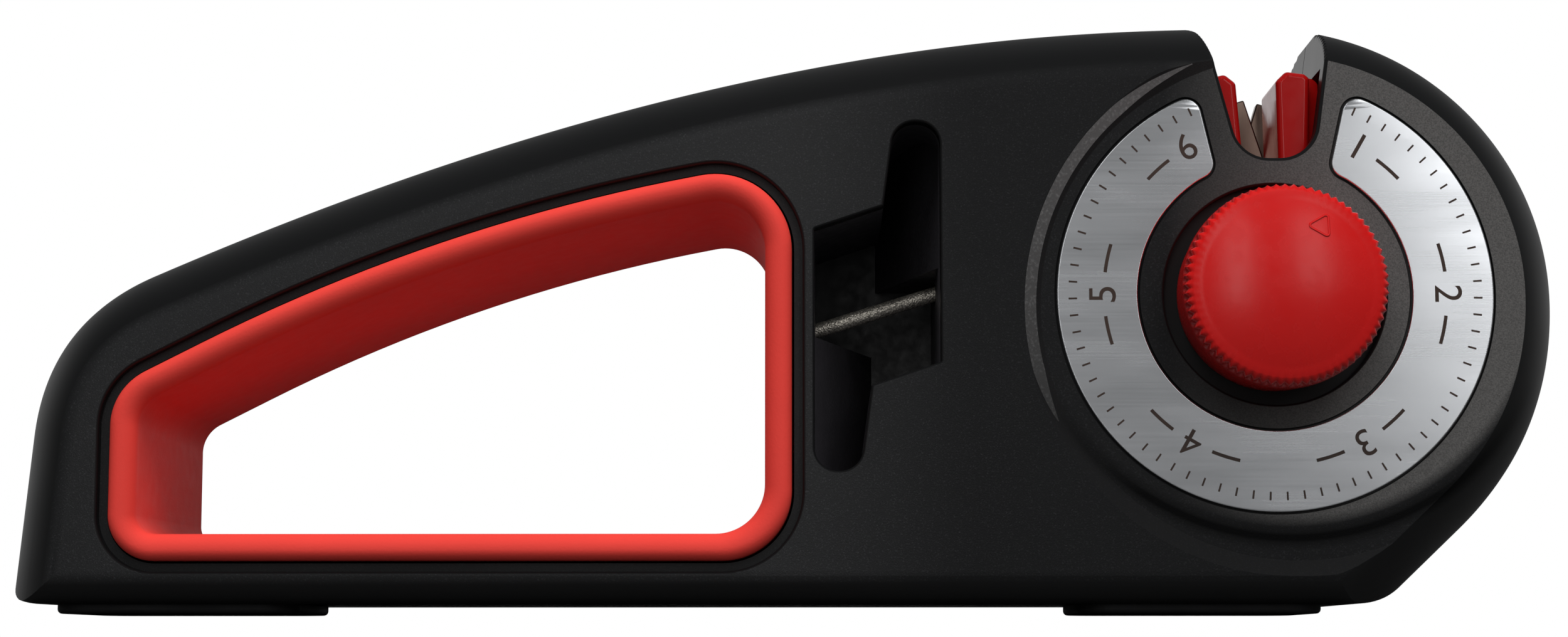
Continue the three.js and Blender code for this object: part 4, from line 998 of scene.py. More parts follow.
def diamond_grit(work, tints):
    """Grains of abrasive in a nickel bond: bright and dark grains on a rough ground."""
    tint = tuple(tints.diamond)
    cells = work.add("TexVoronoi", {"Vector": work.place, "Scale": 4200.0}).outputs["Distance"]
    grain = work.noise(3600, 3.0)
    work.plain(tint, 0.5, 0.8)
    bright = work.ranged(grain, 0.35, 0.65)
    work.give("Base Color", work.tinted(bright, shaded(tint, 0.5), shaded(tint, 1.25)))
    work.give("Roughness", work.ranged(grain, 0.3, 0.7, 0.34, 0.5))
    work.bumped(cells, 0.6, 0.00012)


def fine_ceramic(work, tints):
    """Sintered ceramic, off-white with a fine tooth."""
    tint = tuple(tints.ceramic)
    work.plain(tint, 0.45)
    work.give("Base Color", work.tinted(work.noise(220, 3.0), shaded(tint, 0.94), shaded(tint, 1.03)))
    work.bumped(work.noise(4000), 0.12, 0.00005)


def foot_rubber(work, tints):
    """Matt rubber with dusty mottling."""
    tint = tuple(tints.rubber)
    work.plain(tint, 0.8)
    work.give("Base Color", work.tinted(work.noise(240, 4.0), shaded(tint, 0.8), shaded(tint, 1.5)))
    work.give("Roughness", work.ranged(work.noise(90), 0.3, 0.7, 0.72, 0.88))
    work.bumped(work.noise(1500), 0.25, 0.0002)


def charcoal():
    """The finish of both shells."""
    return finish("charcoal_grain", charcoal_grain)


def red(kind):
    """The red of the liner, the knob or the turret: its tint, roughness, grain and shine."""
    settings = {
        "liner": ("coral", 0.66, 0.22, 0.25),
        "knob": ("red", 0.26, 0.06, 0.4),
        # The turret's red is darkened as painted shade
        "turret": ("drum", 0.16, 0.03, 0.3),
    }
    return finish(f"red_plastic_{kind}", red_plastic(*settings[kind]))


def steel():
    """The finish of axle, screws and springs."""
    return finish("ground_steel", ground_metal("steel", 0.32, (1, 12, 1)))


# Body forms

def body_outline():
    """Side view of the body: a straight left end, a quadratic turn-over, a cubic back, the round head and a
    flank, run on below the feet so that the soft edge ends under the bottom."""
    sizes = bpy.context.scene.sharpener_body
    below = UNDERSIDE - sizes.soft_reach - PROUD
    level = np.array([1.0, 0.0])
    high = end_at(sizes.end_top)
    shoulder = np.array([LEFT_END + sizes.shoulder_reach, sizes.shoulder_height])
    slope = polar(1.0, sizes.shoulder_slope)
    turn_over = crossing(high, end_direction(), shoulder, slope)
    eased = shoulder + slope * sizes.ease_left
    head, radius = head_round()
    crown = head + (0, radius)
    knee = crossing(flank_place(), flank_direction(), np.array([RIGHT_END, 0]), np.array([0.0, 1.0]))
    flank = knee + flank_direction() * (head[1] - knee[1])
    return distinct(np.concatenate([
        end_at(below)[None],
        bezier([high, turn_over, shoulder]),
        bezier([shoulder, eased, crown - level * sizes.ease_head, crown], BACK_POINTS),
        head + polar(radius, np.linspace(math.pi / 2, 0, HEAD_POINTS)),
        bezier([head + (radius, 0), knee, flank]),
        flank_at(below)[None],
    ]))


def head_round():
    """Middle and radius of the round head, which reaches the right end."""
    sizes = bpy.context.scene.sharpener_body
    middle = HUB + (sizes.head_shift, -sizes.head_drop)
    return middle, RIGHT_END - middle[0]


def end_direction():
    """Direction of the left end, upwards."""
    return polar(1.0, math.pi / 2 - bpy.context.scene.sharpener_body.end_lean)


def end_at(height):
    """Place on the left end at a height."""
    sizes = bpy.context.scene.sharpener_body
    widest = np.array([LEFT_END, UNDERSIDE + sizes.end_corner])
    return crossing(widest, end_direction(), np.array([0, height]), np.array([1.0, 0.0]))


def flank_direction():
    """Direction of the lower right flank, downwards."""
    return beside(polar(1.0, -bpy.context.scene.sharpener_body.flank_turn))


def flank_place():
    """The place of the flank nearest to the middle of the head."""
    sizes = bpy.context.scene.sharpener_body
    head, radius = head_round()
    return head + polar(radius + sizes.flank_out, -sizes.flank_turn)


def flank_at(height):
    """Place on the flank at a height."""
    return crossing(flank_place(), flank_direction(), np.array([0, height]), np.array([1.0, 0.0]))


def bottom_outline(inset):
    """A level underside with rounded ends, closed far above the body."""
    sizes = bpy.context.scene.sharpener_body
    level = UNDERSIDE + inset
    left, left_up = end_at(level), end_at(level + sizes.end_corner)
    right = flank_at(level)
    right_up = right - flank_direction() * sizes.flank_corner
    far = 2 * (RIGHT_END - LEFT_END)
    return distinct(np.concatenate([
        bezier([left_up, left, left + (sizes.end_corner, 0)], CORNER_POINTS),
        bezier([right - (sizes.flank_corner, 0), right, right_up], CORNER_POINTS),
        [[far, right_up[1]], [far, far], [-far, far], [-far, left_up[1]]],
    ]))


def soft_reach(outline):
    """Reach of the soft edge, limited by the tightest turn of the outline."""
    return min(bpy.context.scene.sharpener_body.soft_reach, SOFT_SHARE * inward_room(outline))


def half_form(side, inset, start):
    """One half of the body, drawn in by an inset, from a start depth out to its face. The soft edge is a
    quarter ellipse: the outline is drawn in by reach (1 - cos t) while the depth grows by depth sin t. The
    lower edge is a quarter circle that lifts the underside by r (1 - cos t)."""
    sizes = bpy.context.scene.sharpener_body
    outline = body_outline()
    inward, outward = quarter(1.0, SOFT_STEPS)
    insets = (soft_reach(outline) - inset) * inward + inset
    depths = HALF - sizes.soft_depth + (sizes.soft_depth - inset) * outward
    rings = [ring(grown(outline, -i), side * d) for i, d in zip(insets, depths)]
    upper = solid([ring(grown(outline, -inset), side * start), *rings])
    low = sizes.low_round
    lifts, rises = quarter(low, 2 * FILLET_STEPS)
    levels = [inset, *(inset + lifts), inset + low]
    low_depths = [-2 * PROUD, *(HALF - inset - low + rises), HALF + PROUD]
    return common(upper, solid([ring(bottom_outline(i), side * d) for i, d in zip(levels, low_depths)]))


def skin_depth(outline, places, depth, front):
    """Depth of places under the skin, on the soft edge's own ellipse, or under the sunk dial face."""
    sizes = bpy.context.scene.sharpener_body
    inward = np.clip(1 - inset_from(outline, places) / soft_reach(outline), 0, None)
    outward = np.clip((abs(depth) - HALF + sizes.soft_depth) / sizes.soft_depth, 0, None)
    under = sizes.soft_depth * (1 - np.hypot(inward, outward))
    if not front:
        return under
    return np.minimum(under, step_depth(np.linalg.norm(places - dial_middle(), axis=1)) - abs(depth))


def step_depth(radius):
    """Depth of the dial face and of the sloping step round it, at a distance from the dial's middle."""
    dial = bpy.context.scene.sharpener_dial
    return HALF - dial.sink * np.clip((dial.edge + dial.step - radius) / dial.step, 0, 1)


def notch_outline(grow):
    """The knife notch: a round floor between flared walls with rounded lips, closed above the head."""
    sizes = bpy.context.scene.sharpener_notch
    floor = HUB[1] + sizes.floor - grow
    head, radius = head_round()
    top = head[1] + radius + sizes.lip_rise

    def wall(corner, flare, height):
        return corner + grow / math.cos(flare) + (height - HUB[1] - sizes.floor) * math.tan(flare)

    def left(height):
        return HUB[0] - wall(sizes.left, sizes.left_flare, height)

    def right(height):
        return HUB[0] + wall(sizes.right, sizes.right_flare, height)

    aside = 2 * sizes.floor_round
    far_left, far_right = left(top) - aside, right(top) + aside
    corners = [
        (left(floor), floor), (right(floor), floor), (right(top), top), (far_right, top),
        (far_right, top + aside), (far_left, top + aside), (far_left, top), (left(top), top),
    ]
    right_lip, left_lip = (sizes.right_lip, sizes.left_lip) if grow == 0 else (0, 0)
    return rounded(corners, [sizes.floor_round + grow] * 2 + [right_lip, 0, 0, 0, 0, left_lip])


def refined(outline, spacing):
    """An outline with points added along its long sides."""
    after = np.roll(outline, -1, 0)
    counts = np.maximum(1, np.ceil(np.linalg.norm(after - outline, axis=1) / spacing)).astype(int)
    start = np.repeat(outline, counts, 0)
    step = np.repeat((after - outline) / counts[:, None], counts, 0)
    offset = np.arange(counts.sum()) - np.repeat(np.cumsum(counts) - counts, counts)
    return start + step * offset[:, None]


def notch_cutter(side):
    """The notch carried through one half. Close under the skin its walls lean out by a quarter circle of the
    depth, so that the edge it leaves on the soft form is round."""
    radius = bpy.context.scene.sharpener_notch.edge
    outline = refined(notch_outline(0), NOTCH_SPACING)
    body = body_outline()
    rings = []
    for depth in np.concatenate([[-2 * PROUD], np.arange(NOTCH_STEP, HALF + PROUD, NOTCH_STEP)]):
        under = np.clip(skin_depth(body, outline, max(depth, 0), side < 0), 0, radius)
        lean = radius - np.sqrt(radius ** 2 - (radius - under) ** 2)
        rings.append(ring(grown(outline, lean), side * depth))
    return solid(rings)


def grip_outline(grow=0.0):
    """The finger opening's liner: five rounded corners, the crown a long sweep."""
    sizes = bpy.context.scene.sharpener_handle
    left = LEFT_END + sizes.left
    corners = [
        (left, sizes.bottom), (sizes.right, sizes.bottom), (sizes.right, sizes.right_top),
        (left + sizes.crown_reach, sizes.crown), (left, sizes.left_top),
    ]
    return grown(rounded(corners, GRIP_ROUNDS, GRIP_STEPS), grow)


def tunnel_outline(rear):
    """The liner's inner side: the same corners drawn in by its wall, with rounds of their own. From front
    to rear its top comes down and its left side closes in by their drafts."""
    sizes = bpy.context.scene.sharpener_handle
    left = LEFT_END + sizes.left
    right, bottom = sizes.right - sizes.wall, sizes.bottom + sizes.wall
    near = left + sizes.wall + rear * sizes.draft_left
    crown = np.array([left + sizes.crown_reach, sizes.crown])
    first = np.array([left, sizes.left_top])
    last = np.array([sizes.right, sizes.right_top])
    drop = np.array([0, sizes.wall + rear * sizes.draft_top])
    up_left, up_right = unit(crown - first), unit(last - crown)
    upright = np.array([0.0, 1.0])
    tilt_left, tilt_right = drop / up_left[0], drop / up_right[0]
    low_crown = crossing(first - tilt_left, up_left, last - tilt_right, up_right)
    corners = [
        (near, bottom), (right, bottom),
        crossing(last - tilt_right, up_right, np.array([right, 0]), upright),
        low_crown,
        crossing(first - tilt_left, up_left, np.array([near, 0]), upright),
    ]
    return rounded(corners, TUNNEL_ROUNDS, GRIP_STEPS)


def slot_outline(grow=0.0):
    """One side of the scissor slot and the same side turned by half a turn."""
    sizes = bpy.context.scene.sharpener_slot
    left, low = -sizes.half_width, -sizes.half_height
    knee = (-sizes.knee_offset, -sizes.knee_height)
    side = np.array([(left, sizes.shoulder), (left, low), (left + sizes.end_width, low), knee])
    radii = [sizes.corner, sizes.end_round, sizes.end_round, sizes.corner] * 2
    return grown(rounded(np.concatenate([side, -side]), radii), grow) + SLOT


def ring_outline(grow=0.0):
    """The C-shaped scale plate: two arcs that stop at the flared sides of its gap."""
    sizes = bpy.context.scene.sharpener_dial
    along = polar(1.0, math.pi / 2 - sizes.ring_flare)
    gap = np.array([sizes.ring_gap, math.sqrt(sizes.ring_inner ** 2 - sizes.ring_gap ** 2)])

    def arc(radius):
        reach = -gap @ along + math.sqrt((gap @ along) ** 2 - gap @ gap + radius ** 2)
        x, z = gap + along * reach
        end = math.atan2(z, x)
        return polar(radius, np.linspace(math.pi - end, 2 * math.pi + end, ARC_POINTS))

    corners = np.concatenate([arc(sizes.ring_outer), arc(sizes.ring_inner)[::-1]])
    radii = np.zeros(len(corners))
    radii[[0, ARC_POINTS - 1, ARC_POINTS, -1]] = sizes.ring_corner
    return grown(rounded_ends(corners, radii), grow) + HUB


def rounded_ends(corners, radii):
    """A fine outline with a few of its corners rounded: points near a corner give way to its arc."""
    marks = np.flatnonzero(radii)
    kept = np.ones(len(corners), bool)
    for mark in marks:
        near = np.linalg.norm(corners - corners[mark], axis=1) < radii[mark] * CORNER_CLEAR
        kept &= ~near
        kept[mark] = True
    return rounded(corners[kept], radii[kept])


def dial_middle():
    """Middle of the sunk dial face."""
    sizes = bpy.context.scene.sharpener_dial
    return HUB + polar(sizes.shift, sizes.shift_turn)


def pad_outlines(grow=0.0):
    """Outlines of the two foot pads from above."""
    corner = bpy.context.scene.sharpener_body.pad_corner
    outlines = []
    for node in ("foot_pad_left", "foot_pad_right"):
        low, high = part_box(node)
        corners = [(low.x, low.y), (high.x, low.y), (high.x, high.y), (low.x, high.y)]
        outlines.append(grown(rounded(corners, [corner] * 4), grow))
    return outlines


def screw_places(name, count):
    """Axes of the screws of a name."""
    boxes = [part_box(f"{name}_{k + 1}") for k in range(count)]
    return [np.array([low.x + high.x, low.z + high.z]) / 2 for low, high in boxes]


# Pieces

def shell(side):
    """One half shell: the hollow form, the ribs round the liner, the cheeks beside the notch and the screw
    bosses, with the openings that both halves share."""
    sizes = bpy.context.scene.sharpener_body
    notch = bpy.context.scene.sharpener_notch
    handle = bpy.context.scene.sharpener_handle
    turret = bpy.context.scene.sharpener_turret
    seam, wall = side * sizes.seam / 2, sizes.wall
    hollow = cut(half_form(side, 0, sizes.seam / 2), half_form(side, wall, -PROUD))
    reach = side * (HALF - wall + PROUD)
    collar = grip_outline(handle.fit + handle.collar)
    ribs = plate(collar, side * (handle.flange_half + handle.fit), reach)
    cheeks = plate(notch_outline(notch.cheek), seam, reach)
    screws = screw_places("housing_screw", HOUSING_SCREWS)
    bosses = [peg(sizes.boss, seam, reach, p, count=BOSS_POINTS) for p in screws]
    inside = common(united([ribs, cheeks, *bosses]), half_form(side, wall / 2, -PROUD))
    room = peg(turret.radius + notch.room, -side * PROUD, side * notch.room_half, count=WELL_POINTS)
    floor = HALF - handle.groove_depth
    openings = [
        plate(grip_outline(handle.fit), -side * PROUD, side * (floor + PROUD)),
        sunk(grip_outline(handle.groove), floor, HALF, sizes.groove_fillet, side),
        notch_cutter(side),
    ]
    pads = [tower(outline, -PROUD, sizes.pad_pocket) for outline in pad_outlines(handle.fit)]
    return cut(cut(united([hollow, inside]), room), *openings, *pads)


class SHARPENER_OT_shells(Operator):
    """Build the two half shells of the body"""

    bl_idname = "sharpener.build_shells"
    bl_label = "Shells"

    def execute(self, context):
        sizes = context.scene.sharpener_body
        dial = context.scene.sharpener_dial
        screws = screw_places("housing_screw", HOUSING_SCREWS)
        inner = HALF - sizes.wall + PROUD
        face = HALF - dial.sink
        front = united([shell(-1), peg(dial.disc, dial.disc_back, -inner, count=DISC_POINTS)])
        rim = dial.edge + dial.step / dial.sink * (dial.sink + PROUD)
        sink = solid([
            ring(circle(dial.edge, dial_middle(), DIAL_POINTS), -face),
            ring(circle(rim, dial_middle(), DIAL_POINTS), -HALF - PROUD),
        ])
        pocket = sunk(ring_outline(dial.ring_fit), face - dial.pocket_depth, face, dial.pocket_edge, -1)
        well = sunk(circle(dial.well, HUB, WELL_POINTS), face - dial.well_depth, face, sizes.fillet, -1)
        bore = peg(sizes.axle_hole, -HALF, 0)
        slot = sunk(slot_outline(), 0, HALF, sizes.fillet, -1)
        pilots = [peg(sizes.pilot, -sizes.pilot_reach, PROUD, p, count=HOLE_POINTS) for p in screws]
        front = cut(front, sink, pocket, well, bore, slot, *pilots)
        finished(front, "front_shell", "housing", charcoal(), ["front_housing"])

        rear = united([shell(1), peg(sizes.bearing, sizes.bearing_front, inner, count=BEARING_POINTS)])
        holes = [peg(sizes.pilot, -PROUD, HALF, p, count=HOLE_POINTS) for p in screws]
        floor = HALF - sizes.sink_depth
        sinks = [sunk(circle(sizes.sink, p, BORE_POINTS), floor, HALF, sizes.sink_edge, 1) for p in screws]
        rear = cut(rear, peg(sizes.axle_hole, 0, sizes.bearing_floor), *holes, *sinks)
        finished(rear, "rear_shell", "housing", charcoal(), ["rear_housing"])
        return {"FINISHED"}


class SHARPENER_OT_liner(Operator):
    """Build the red liner of the finger opening"""

    bl_idname = "sharpener.build_liner"
    bl_label = "Handle liner"

    def execute(self, context):
        sizes = context.scene.sharpener_handle
        outline = grip_outline()
        wall = sizes.wall
        tip = HALF + sizes.proud
        bead_in, bead_rise = quarter(sizes.bead, LIP_STEPS)
        roll_in, roll_rise = quarter(sizes.roll, LIP_STEPS)
        outer = np.column_stack([bead_in, tip - sizes.bead + bead_rise])
        inner = np.column_stack([wall - roll_in, tip - sizes.roll + roll_rise])
        lip = np.concatenate([outer, inner[::-1]])
        out, half = -sizes.flange, sizes.flange_half
        flange = [(0, -half), (out, -half), (out, half), (0, half)]
        section = np.concatenate([lip, lip[::-1] * (1, -1), flange])
        rings = []
        for inset, depth in section:
            share_in = max(inset, 0) / wall
            tunnel = tunnel_outline((depth + tip) / (2 * tip))
            placed = outline * (1 - share_in) + tunnel * share_in
            rings.append(ring(placed if inset >= 0 else grown(outline, -inset), depth))
        liner = solid(rings, closed=True)
        finished(liner, "grip_liner", "housing", red("liner"), ["handle_grip"], LINER_SHARP)
        return {"FINISHED"}


def figure_mesh(text, height):
    """A figure as a flat mesh, its middle at the origin."""
    curve = bpy.data.curves.new("figure", "FONT")
    curve.body = text
    curve.size = height * FONT_SCALE
    curve.align_x = "CENTER"
    curve.align_y = "CENTER"
    thing = bpy.data.objects.new("figure", curve)
    bpy.context.scene.collection.objects.link(thing)
    bpy.context.view_layer.update()
    mesh = bpy.data.meshes.new_from_object(thing.evaluated_get(bpy.context.evaluated_depsgraph_get()))
    bpy.data.objects.remove(thing)
    bpy.data.curves.remove(curve)
    places = np.empty(len(mesh.vertices) * 3)
    mesh.vertices.foreach_get("co", places)
    faces = [tuple(face.vertices) for face in mesh.polygons]
    bpy.data.meshes.remove(mesh)
    return places.reshape(-1, 3)[:, :2], faces


def printed_patch(radius, end_radius, turn, end_turn, count=PATCH_POINTS):
    """A patch of print between two radii and two turns, clockwise from the top."""
    turns = math.pi / 2 - np.linspace(turn, end_turn, count)
    outline = np.concatenate([polar(end_radius, turns), polar(radius, turns[::-1])])
    return outline, [tuple(range(len(outline)))]


def print_patches(sizes):
    """Outlines and faces of the print about the axis: figures, the arcs beside them, and ticks."""
    patches = []
    last = 2 * math.pi - PRINT_GAP
    low, high = sizes.figure_radius - ARC_HALF, sizes.figure_radius + ARC_HALF
    for k in range(STATIONS):
        turn = 2 * math.pi / STATIONS * (k + 0.5)
        places, faces = figure_mesh(str(k + 1), sizes.figure)
        patches.append((spun(places + (0, sizes.figure_radius), -turn), faces))
        for way in (-1, 1):
            near, far = turn + way * ARC_NEAR, turn + way * ARC_FAR
            if PRINT_GAP < far < last:
                patches.append(printed_patch(low, high, near, far))
    ends = sizes.tick_radius, sizes.tick_radius + TICK_LENGTH
    for turn in np.linspace(PRINT_GAP, last, TICKS):
        patches.append(printed_patch(*ends, turn - TICK_HALF, turn + TICK_HALF, count=2))
    return patches


class SHARPENER_OT_scale(Operator):
    """Build the brushed scale plate and its plain figures"""

    bl_idname = "sharpener.build_scale"
    bl_label = "Scale plate"

    def execute(self, context):
        sizes = context.scene.sharpener_dial
        front = HALF - sizes.sink + sizes.ring_proud
        outline = ring_outline()
        inward, rise = quarter(sizes.ring_edge)
        insets = [0, *inward]
        depths = [front - sizes.ring_thickness, *(front - sizes.ring_edge + rise)]
        plain = solid([ring(grown(outline, -inset), -depth) for inset, depth in zip(insets, depths)])
        aluminium = finish("brushed_aluminium", brushed_aluminium)
        scale = finished(plain, "scale_plate", "housing", aluminium, ["dial_ring"])
        self.lay_brushing(scale.data)

        vertices, polygons = [], []
        for places, faces in print_patches(sizes):
            start = sum(len(part) for part in vertices)
            vertices.append(ring(places + HUB, -front - sizes.print_height))
            polygons += [tuple(start + i for i in face) for face in faces]
        mesh = bpy.data.meshes.new("scale_print")
        mesh.from_pydata(np.concatenate(vertices), [], polygons)
        thing = bpy.data.objects.new("scale_print", mesh)
        context.scene.collection.objects.link(thing)
        thickness = thing.modifiers.new("ink", "SOLIDIFY")
        thickness.thickness = sizes.print_height
        ink = finish("printing_ink", printing_ink)
        mesh.materials.append(ink)
        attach(thing, "housing")
        return {"FINISHED"}

    @staticmethod
    def lay_brushing(mesh):
        """A map whose first axis runs across the brushing: each corner's place along and across it."""
        places = np.empty(len(mesh.vertices) * 3)
        mesh.vertices.foreach_get("co", places)
        corners = np.empty(len(mesh.loops), int)
        mesh.loops.foreach_get("vertex_index", corners)
        flat = spun(places.reshape(-1, 3)[:, [0, 2]], -BRUSHING_RISE)[:, ::-1] * (1, -1)
        mesh.uv_layers.new(name=BRUSHING).data.foreach_set("uv", flat[corners].ravel())


class SHARPENER_OT_band(Operator):
    """Build the band of painted highlight along the crescent step beside the dial"""

    bl_idname = "sharpener.build_band"
    bl_label = "Crescent band"

    def execute(self, context):
        """Sections across the step, swept along an arc about the dial's middle: each is as wide as its taper
        says, and lies on the lower of the step's slope and the body's soft edge."""
        body = context.scene.sharpener_body
        dial = context.scene.sharpener_dial
        outline = body_outline()
        turn = np.linspace(dial.band_start, dial.band_end, BAND_SECTIONS)
        along = np.linspace(0, 1, BAND_SECTIONS)
        ends = np.minimum(along / dial.band_swell, (1 - along) / dial.band_fade)
        taper = np.clip(ends, BAND_LEAST, 1) ** BAND_POWER
        across = np.linspace(-1, 1, BAND_POINTS)
        place = dial.band_place + dial.band_half * taper[:, None] * across
        radius = (dial.edge + dial.step * place).ravel()
        places = polar(radius, np.repeat(turn, len(across))) + dial_middle()
        inward = np.clip(1 - inset_from(outline, places) / soft_reach(outline), 0, 1)
        skin = HALF - body.soft_depth * (1 - np.sqrt(1 - inward ** 2))
        depth = np.minimum(step_depth(radius), skin)
        top = ring(places, -depth - dial.band_proud).reshape(BAND_SECTIONS, -1, 3)
        root = ring(places, -depth + dial.band_root).reshape(BAND_SECTIONS, -1, 3)
        rings = list(np.concatenate([top, root[:, ::-1]], axis=1))
        # A painted highlight in place of light caught by the step
        light = finish("crescent_grain", crescent_grain)
        finished(solid(rings), "crescent_band", "housing", light)
        return {"FINISHED"}


def knob_ball(sizes):
    """Radius of the ball that the knob's dome is part of, and radius of the dome's edge."""
    crest = sizes.radius - sizes.shoulder
    return (crest ** 2 + sizes.dome ** 2) / (2 * sizes.dome), crest


def knob_front(sizes, radius):
    """Depth of the knob's dome at a distance from the axis."""
    ball, _ = knob_ball(sizes)
    return HALF + sizes.proud - ball + np.sqrt(ball ** 2 - radius ** 2)


def knob_profile(sizes, dial):
    """Radius and depth along the knob, and how deep the knurl is there: its dome, the round shoulder, the
    rim in which the knurl fades, the skirt and the socket."""
    tip = HALF + sizes.proud
    ball, crest = knob_ball(sizes)
    radii = np.linspace(0, crest, DOME_STEPS + 1)[:-1]
    cap = np.column_stack([radii, knob_front(sizes, radii)])
    t = np.linspace(math.asin(crest / ball), math.pi / 2, RIM_STEPS + 1)
    arc = sizes.shoulder * np.column_stack([np.sin(t), np.cos(t)])
    over = np.array([crest, knob_front(sizes, crest)]) - arc[0] + arc
    over[:, 0] *= sizes.radius / over[-1, 0]
    rim_front = over[-1, 1]
    rim_back = tip - sizes.dome - sizes.band
    depths = np.linspace(rim_front, rim_back, RIM_STEPS + 1)[1:]
    rim = np.column_stack([np.full(RIM_STEPS, sizes.radius), depths])
    neck = rim_back - sizes.rim_slope
    bottom = HALF - dial.sink - dial.well_depth + sizes.gap
    socket = tip - sizes.cover
    skirt = np.array([
        (sizes.skirt + sizes.neck, neck), (sizes.skirt, neck - sizes.neck), (sizes.skirt, bottom),
        (sizes.socket, bottom), (sizes.socket, socket), (0, socket),
    ])
    growth = np.linspace(0, 1, len(over)) ** KNURL_GROWTH
    fade = np.clip(1 - (rim_front - depths) / sizes.fade, 0, 1)
    knurl = np.concatenate([np.zeros(len(cap)), growth, fade, np.zeros(len(skirt))])
    return np.concatenate([cap, over, rim, skirt]), knurl


def knob_pointer(sizes):
    """A round rib along a triangle on the dome, turned half a station from the top."""
    corners = polar(sizes.pointer / math.sqrt(3), math.pi / 2 + np.arange(3) * 2 * math.pi / 3)
    path = refined(rounded(corners, [sizes.pointer_corner] * 3), sizes.pointer_step)
    path = spun(path + (0, sizes.pointer_radius), -math.pi / STATIONS)
    line = sizes.pointer_line
    rings = []
    for turn in np.linspace(0, 2 * math.pi, RIB_POINTS, endpoint=False):
        side = grown(path, line * math.cos(turn))
        front = knob_front(sizes, np.linalg.norm(side, axis=1))
        rings.append(ring(side + HUB, -front - line * sizes.pointer_rise * math.sin(turn)))
    return solid(rings, closed=True)


class SHARPENER_OT_knob(Operator):
    """Build the domed knob with its knurl and pointer"""

    bl_idname = "sharpener.build_knob"
    bl_label = "Knob"

    def execute(self, context):
        sizes = context.scene.sharpener_knob
        profile, knurl = knob_profile(sizes, context.scene.sharpener_dial)
        turn = np.linspace(0, 2 * math.pi, sizes.teeth * TOOTH_POINTS, endpoint=False)
        wave = np.abs((turn * sizes.teeth / (2 * math.pi)) % 1 - 0.5) * 2
        valley = sizes.tooth * (1 - wave) ** KNURL_STEEPNESS
        around = polar(1.0, turn)
        rings = [
            ring(around * (radius - amount * valley)[:, None] + HUB, -depth)
            for (radius, depth), amount in zip(profile, knurl)
        ]
        plastic = red("knob")
        finished(solid(rings), "turret_knob", "turret", plastic, ["knob"], KNOB_SHARP)
        finished(knob_pointer(sizes), "knob_pointer", "turret", plastic, angle=ALL_SOFT)
        return {"FINISHED"}


def post_outline(sizes, width):
    """One post, the radius up: its straight V side, a chamfered top and its outer side."""
    inner = sizes.vee_top / 2
    outer = inner + width
    chamfer = sizes.post_chamfer
    root = sizes.hub - 2 * chamfer

    def top(x):
        return math.sqrt(sizes.radius ** 2 - x ** 2)

    floor = sizes.vee_floor / 2
    near, far = inner + chamfer, outer - chamfer / 2
    corners = [
        (floor, root), (outer - sizes.post_taper, root), (outer, top(outer) - chamfer / 3),
        (far, top(far)), (near, top(near)), (inner, top(inner) - chamfer), (floor, sizes.vee_radius),
    ]
    return rounded(corners, [0, 0] + [sizes.post_edge] * 5, POST_STEPS)


def post(sizes, start, end, side, turn, way):
    """A post between two depths. Its outline is drawn in by a quarter circle at the outer end, and grows
    from the face's width to the post's width at a ledge behind the face."""
    inward, rise = quarter(sizes.post_edge)
    ledge = sizes.post_ledge
    places = [*(sizes.post_edge - rise[::-1]), ledge, ledge + sizes.ledge_step, abs(end - start)]
    insets = [*inward[::-1], 0, 0, 0]
    widths = [sizes.post_face] * (len(inward) + 1) + [sizes.post_width] * 2
    rings = []
    for place, inset, width in zip(places, insets, widths):
        outline = grown(post_outline(sizes, width), -inset) * (way, 1)
        rings.append(ring(spun(outline, turn) + HUB, end - side * place))
    return solid(rings)


class SHARPENER_OT_turret(Operator):
    """Build the two red half drums of the turret"""

    bl_idname = "sharpener.build_turret"
    bl_label = "Turret"

    def execute(self, context):
        sizes = context.scene.sharpener_turret
        seam = context.scene.sharpener_body.seam / 2
        turns = np.arange(STATIONS) * 2 * math.pi / STATIONS
        posts = [
            post(sizes, -sizes.layer, sizes.post_front, -1, turn + sizes.post_turn, way)
            for turn in turns for way in (-1, 1)
        ]
        room = peg(sizes.hub_room, -HALF, sizes.hub_front, count=DISC_POINTS)
        hub = peg(sizes.hub, sizes.hub_front, -seam, count=HUB_POINTS)
        front = cut(united([cut(united(posts), room), hub]), peg(sizes.bore, -HALF, HALF))
        plastic = red("turret")
        nodes = ["turret_front"]
        finished(front, "turret_drum_front", "turret", plastic, nodes, TURRET_SHARP)

        posts = [post(sizes, sizes.layer, sizes.back, 1, turn, way) for turn in turns for way in (-1, 1)]
        hub = peg(sizes.hub, seam, sizes.back, count=HUB_POINTS)
        detent = peg(sizes.detent, sizes.back - PROUD, sizes.detent_back, count=DISC_POINTS)
        notches = HUB + polar(sizes.detent + sizes.scallop_out, turns + math.pi / 2)
        scallops = [peg(sizes.scallop, sizes.back, HALF, p, count=HOLE_POINTS) for p in notches]
        screws = screw_places("turret_screw", TURRET_SCREWS)
        seats = [peg(sizes.seat, sizes.seat_floor, HALF, p, count=HOLE_POINTS) for p in screws]
        holes = [peg(sizes.screw_hole, -PROUD, HALF, p, count=HOLE_POINTS) for p in screws]
        rear = cut(united([*posts, hub, detent]), peg(sizes.bore, -HALF, HALF), *scallops, *seats, *holes)
        nodes = ["turret_rear"]
        finished(rear, "turret_drum_rear", "turret", plastic, nodes, TURRET_SHARP)
        return {"FINISHED"}


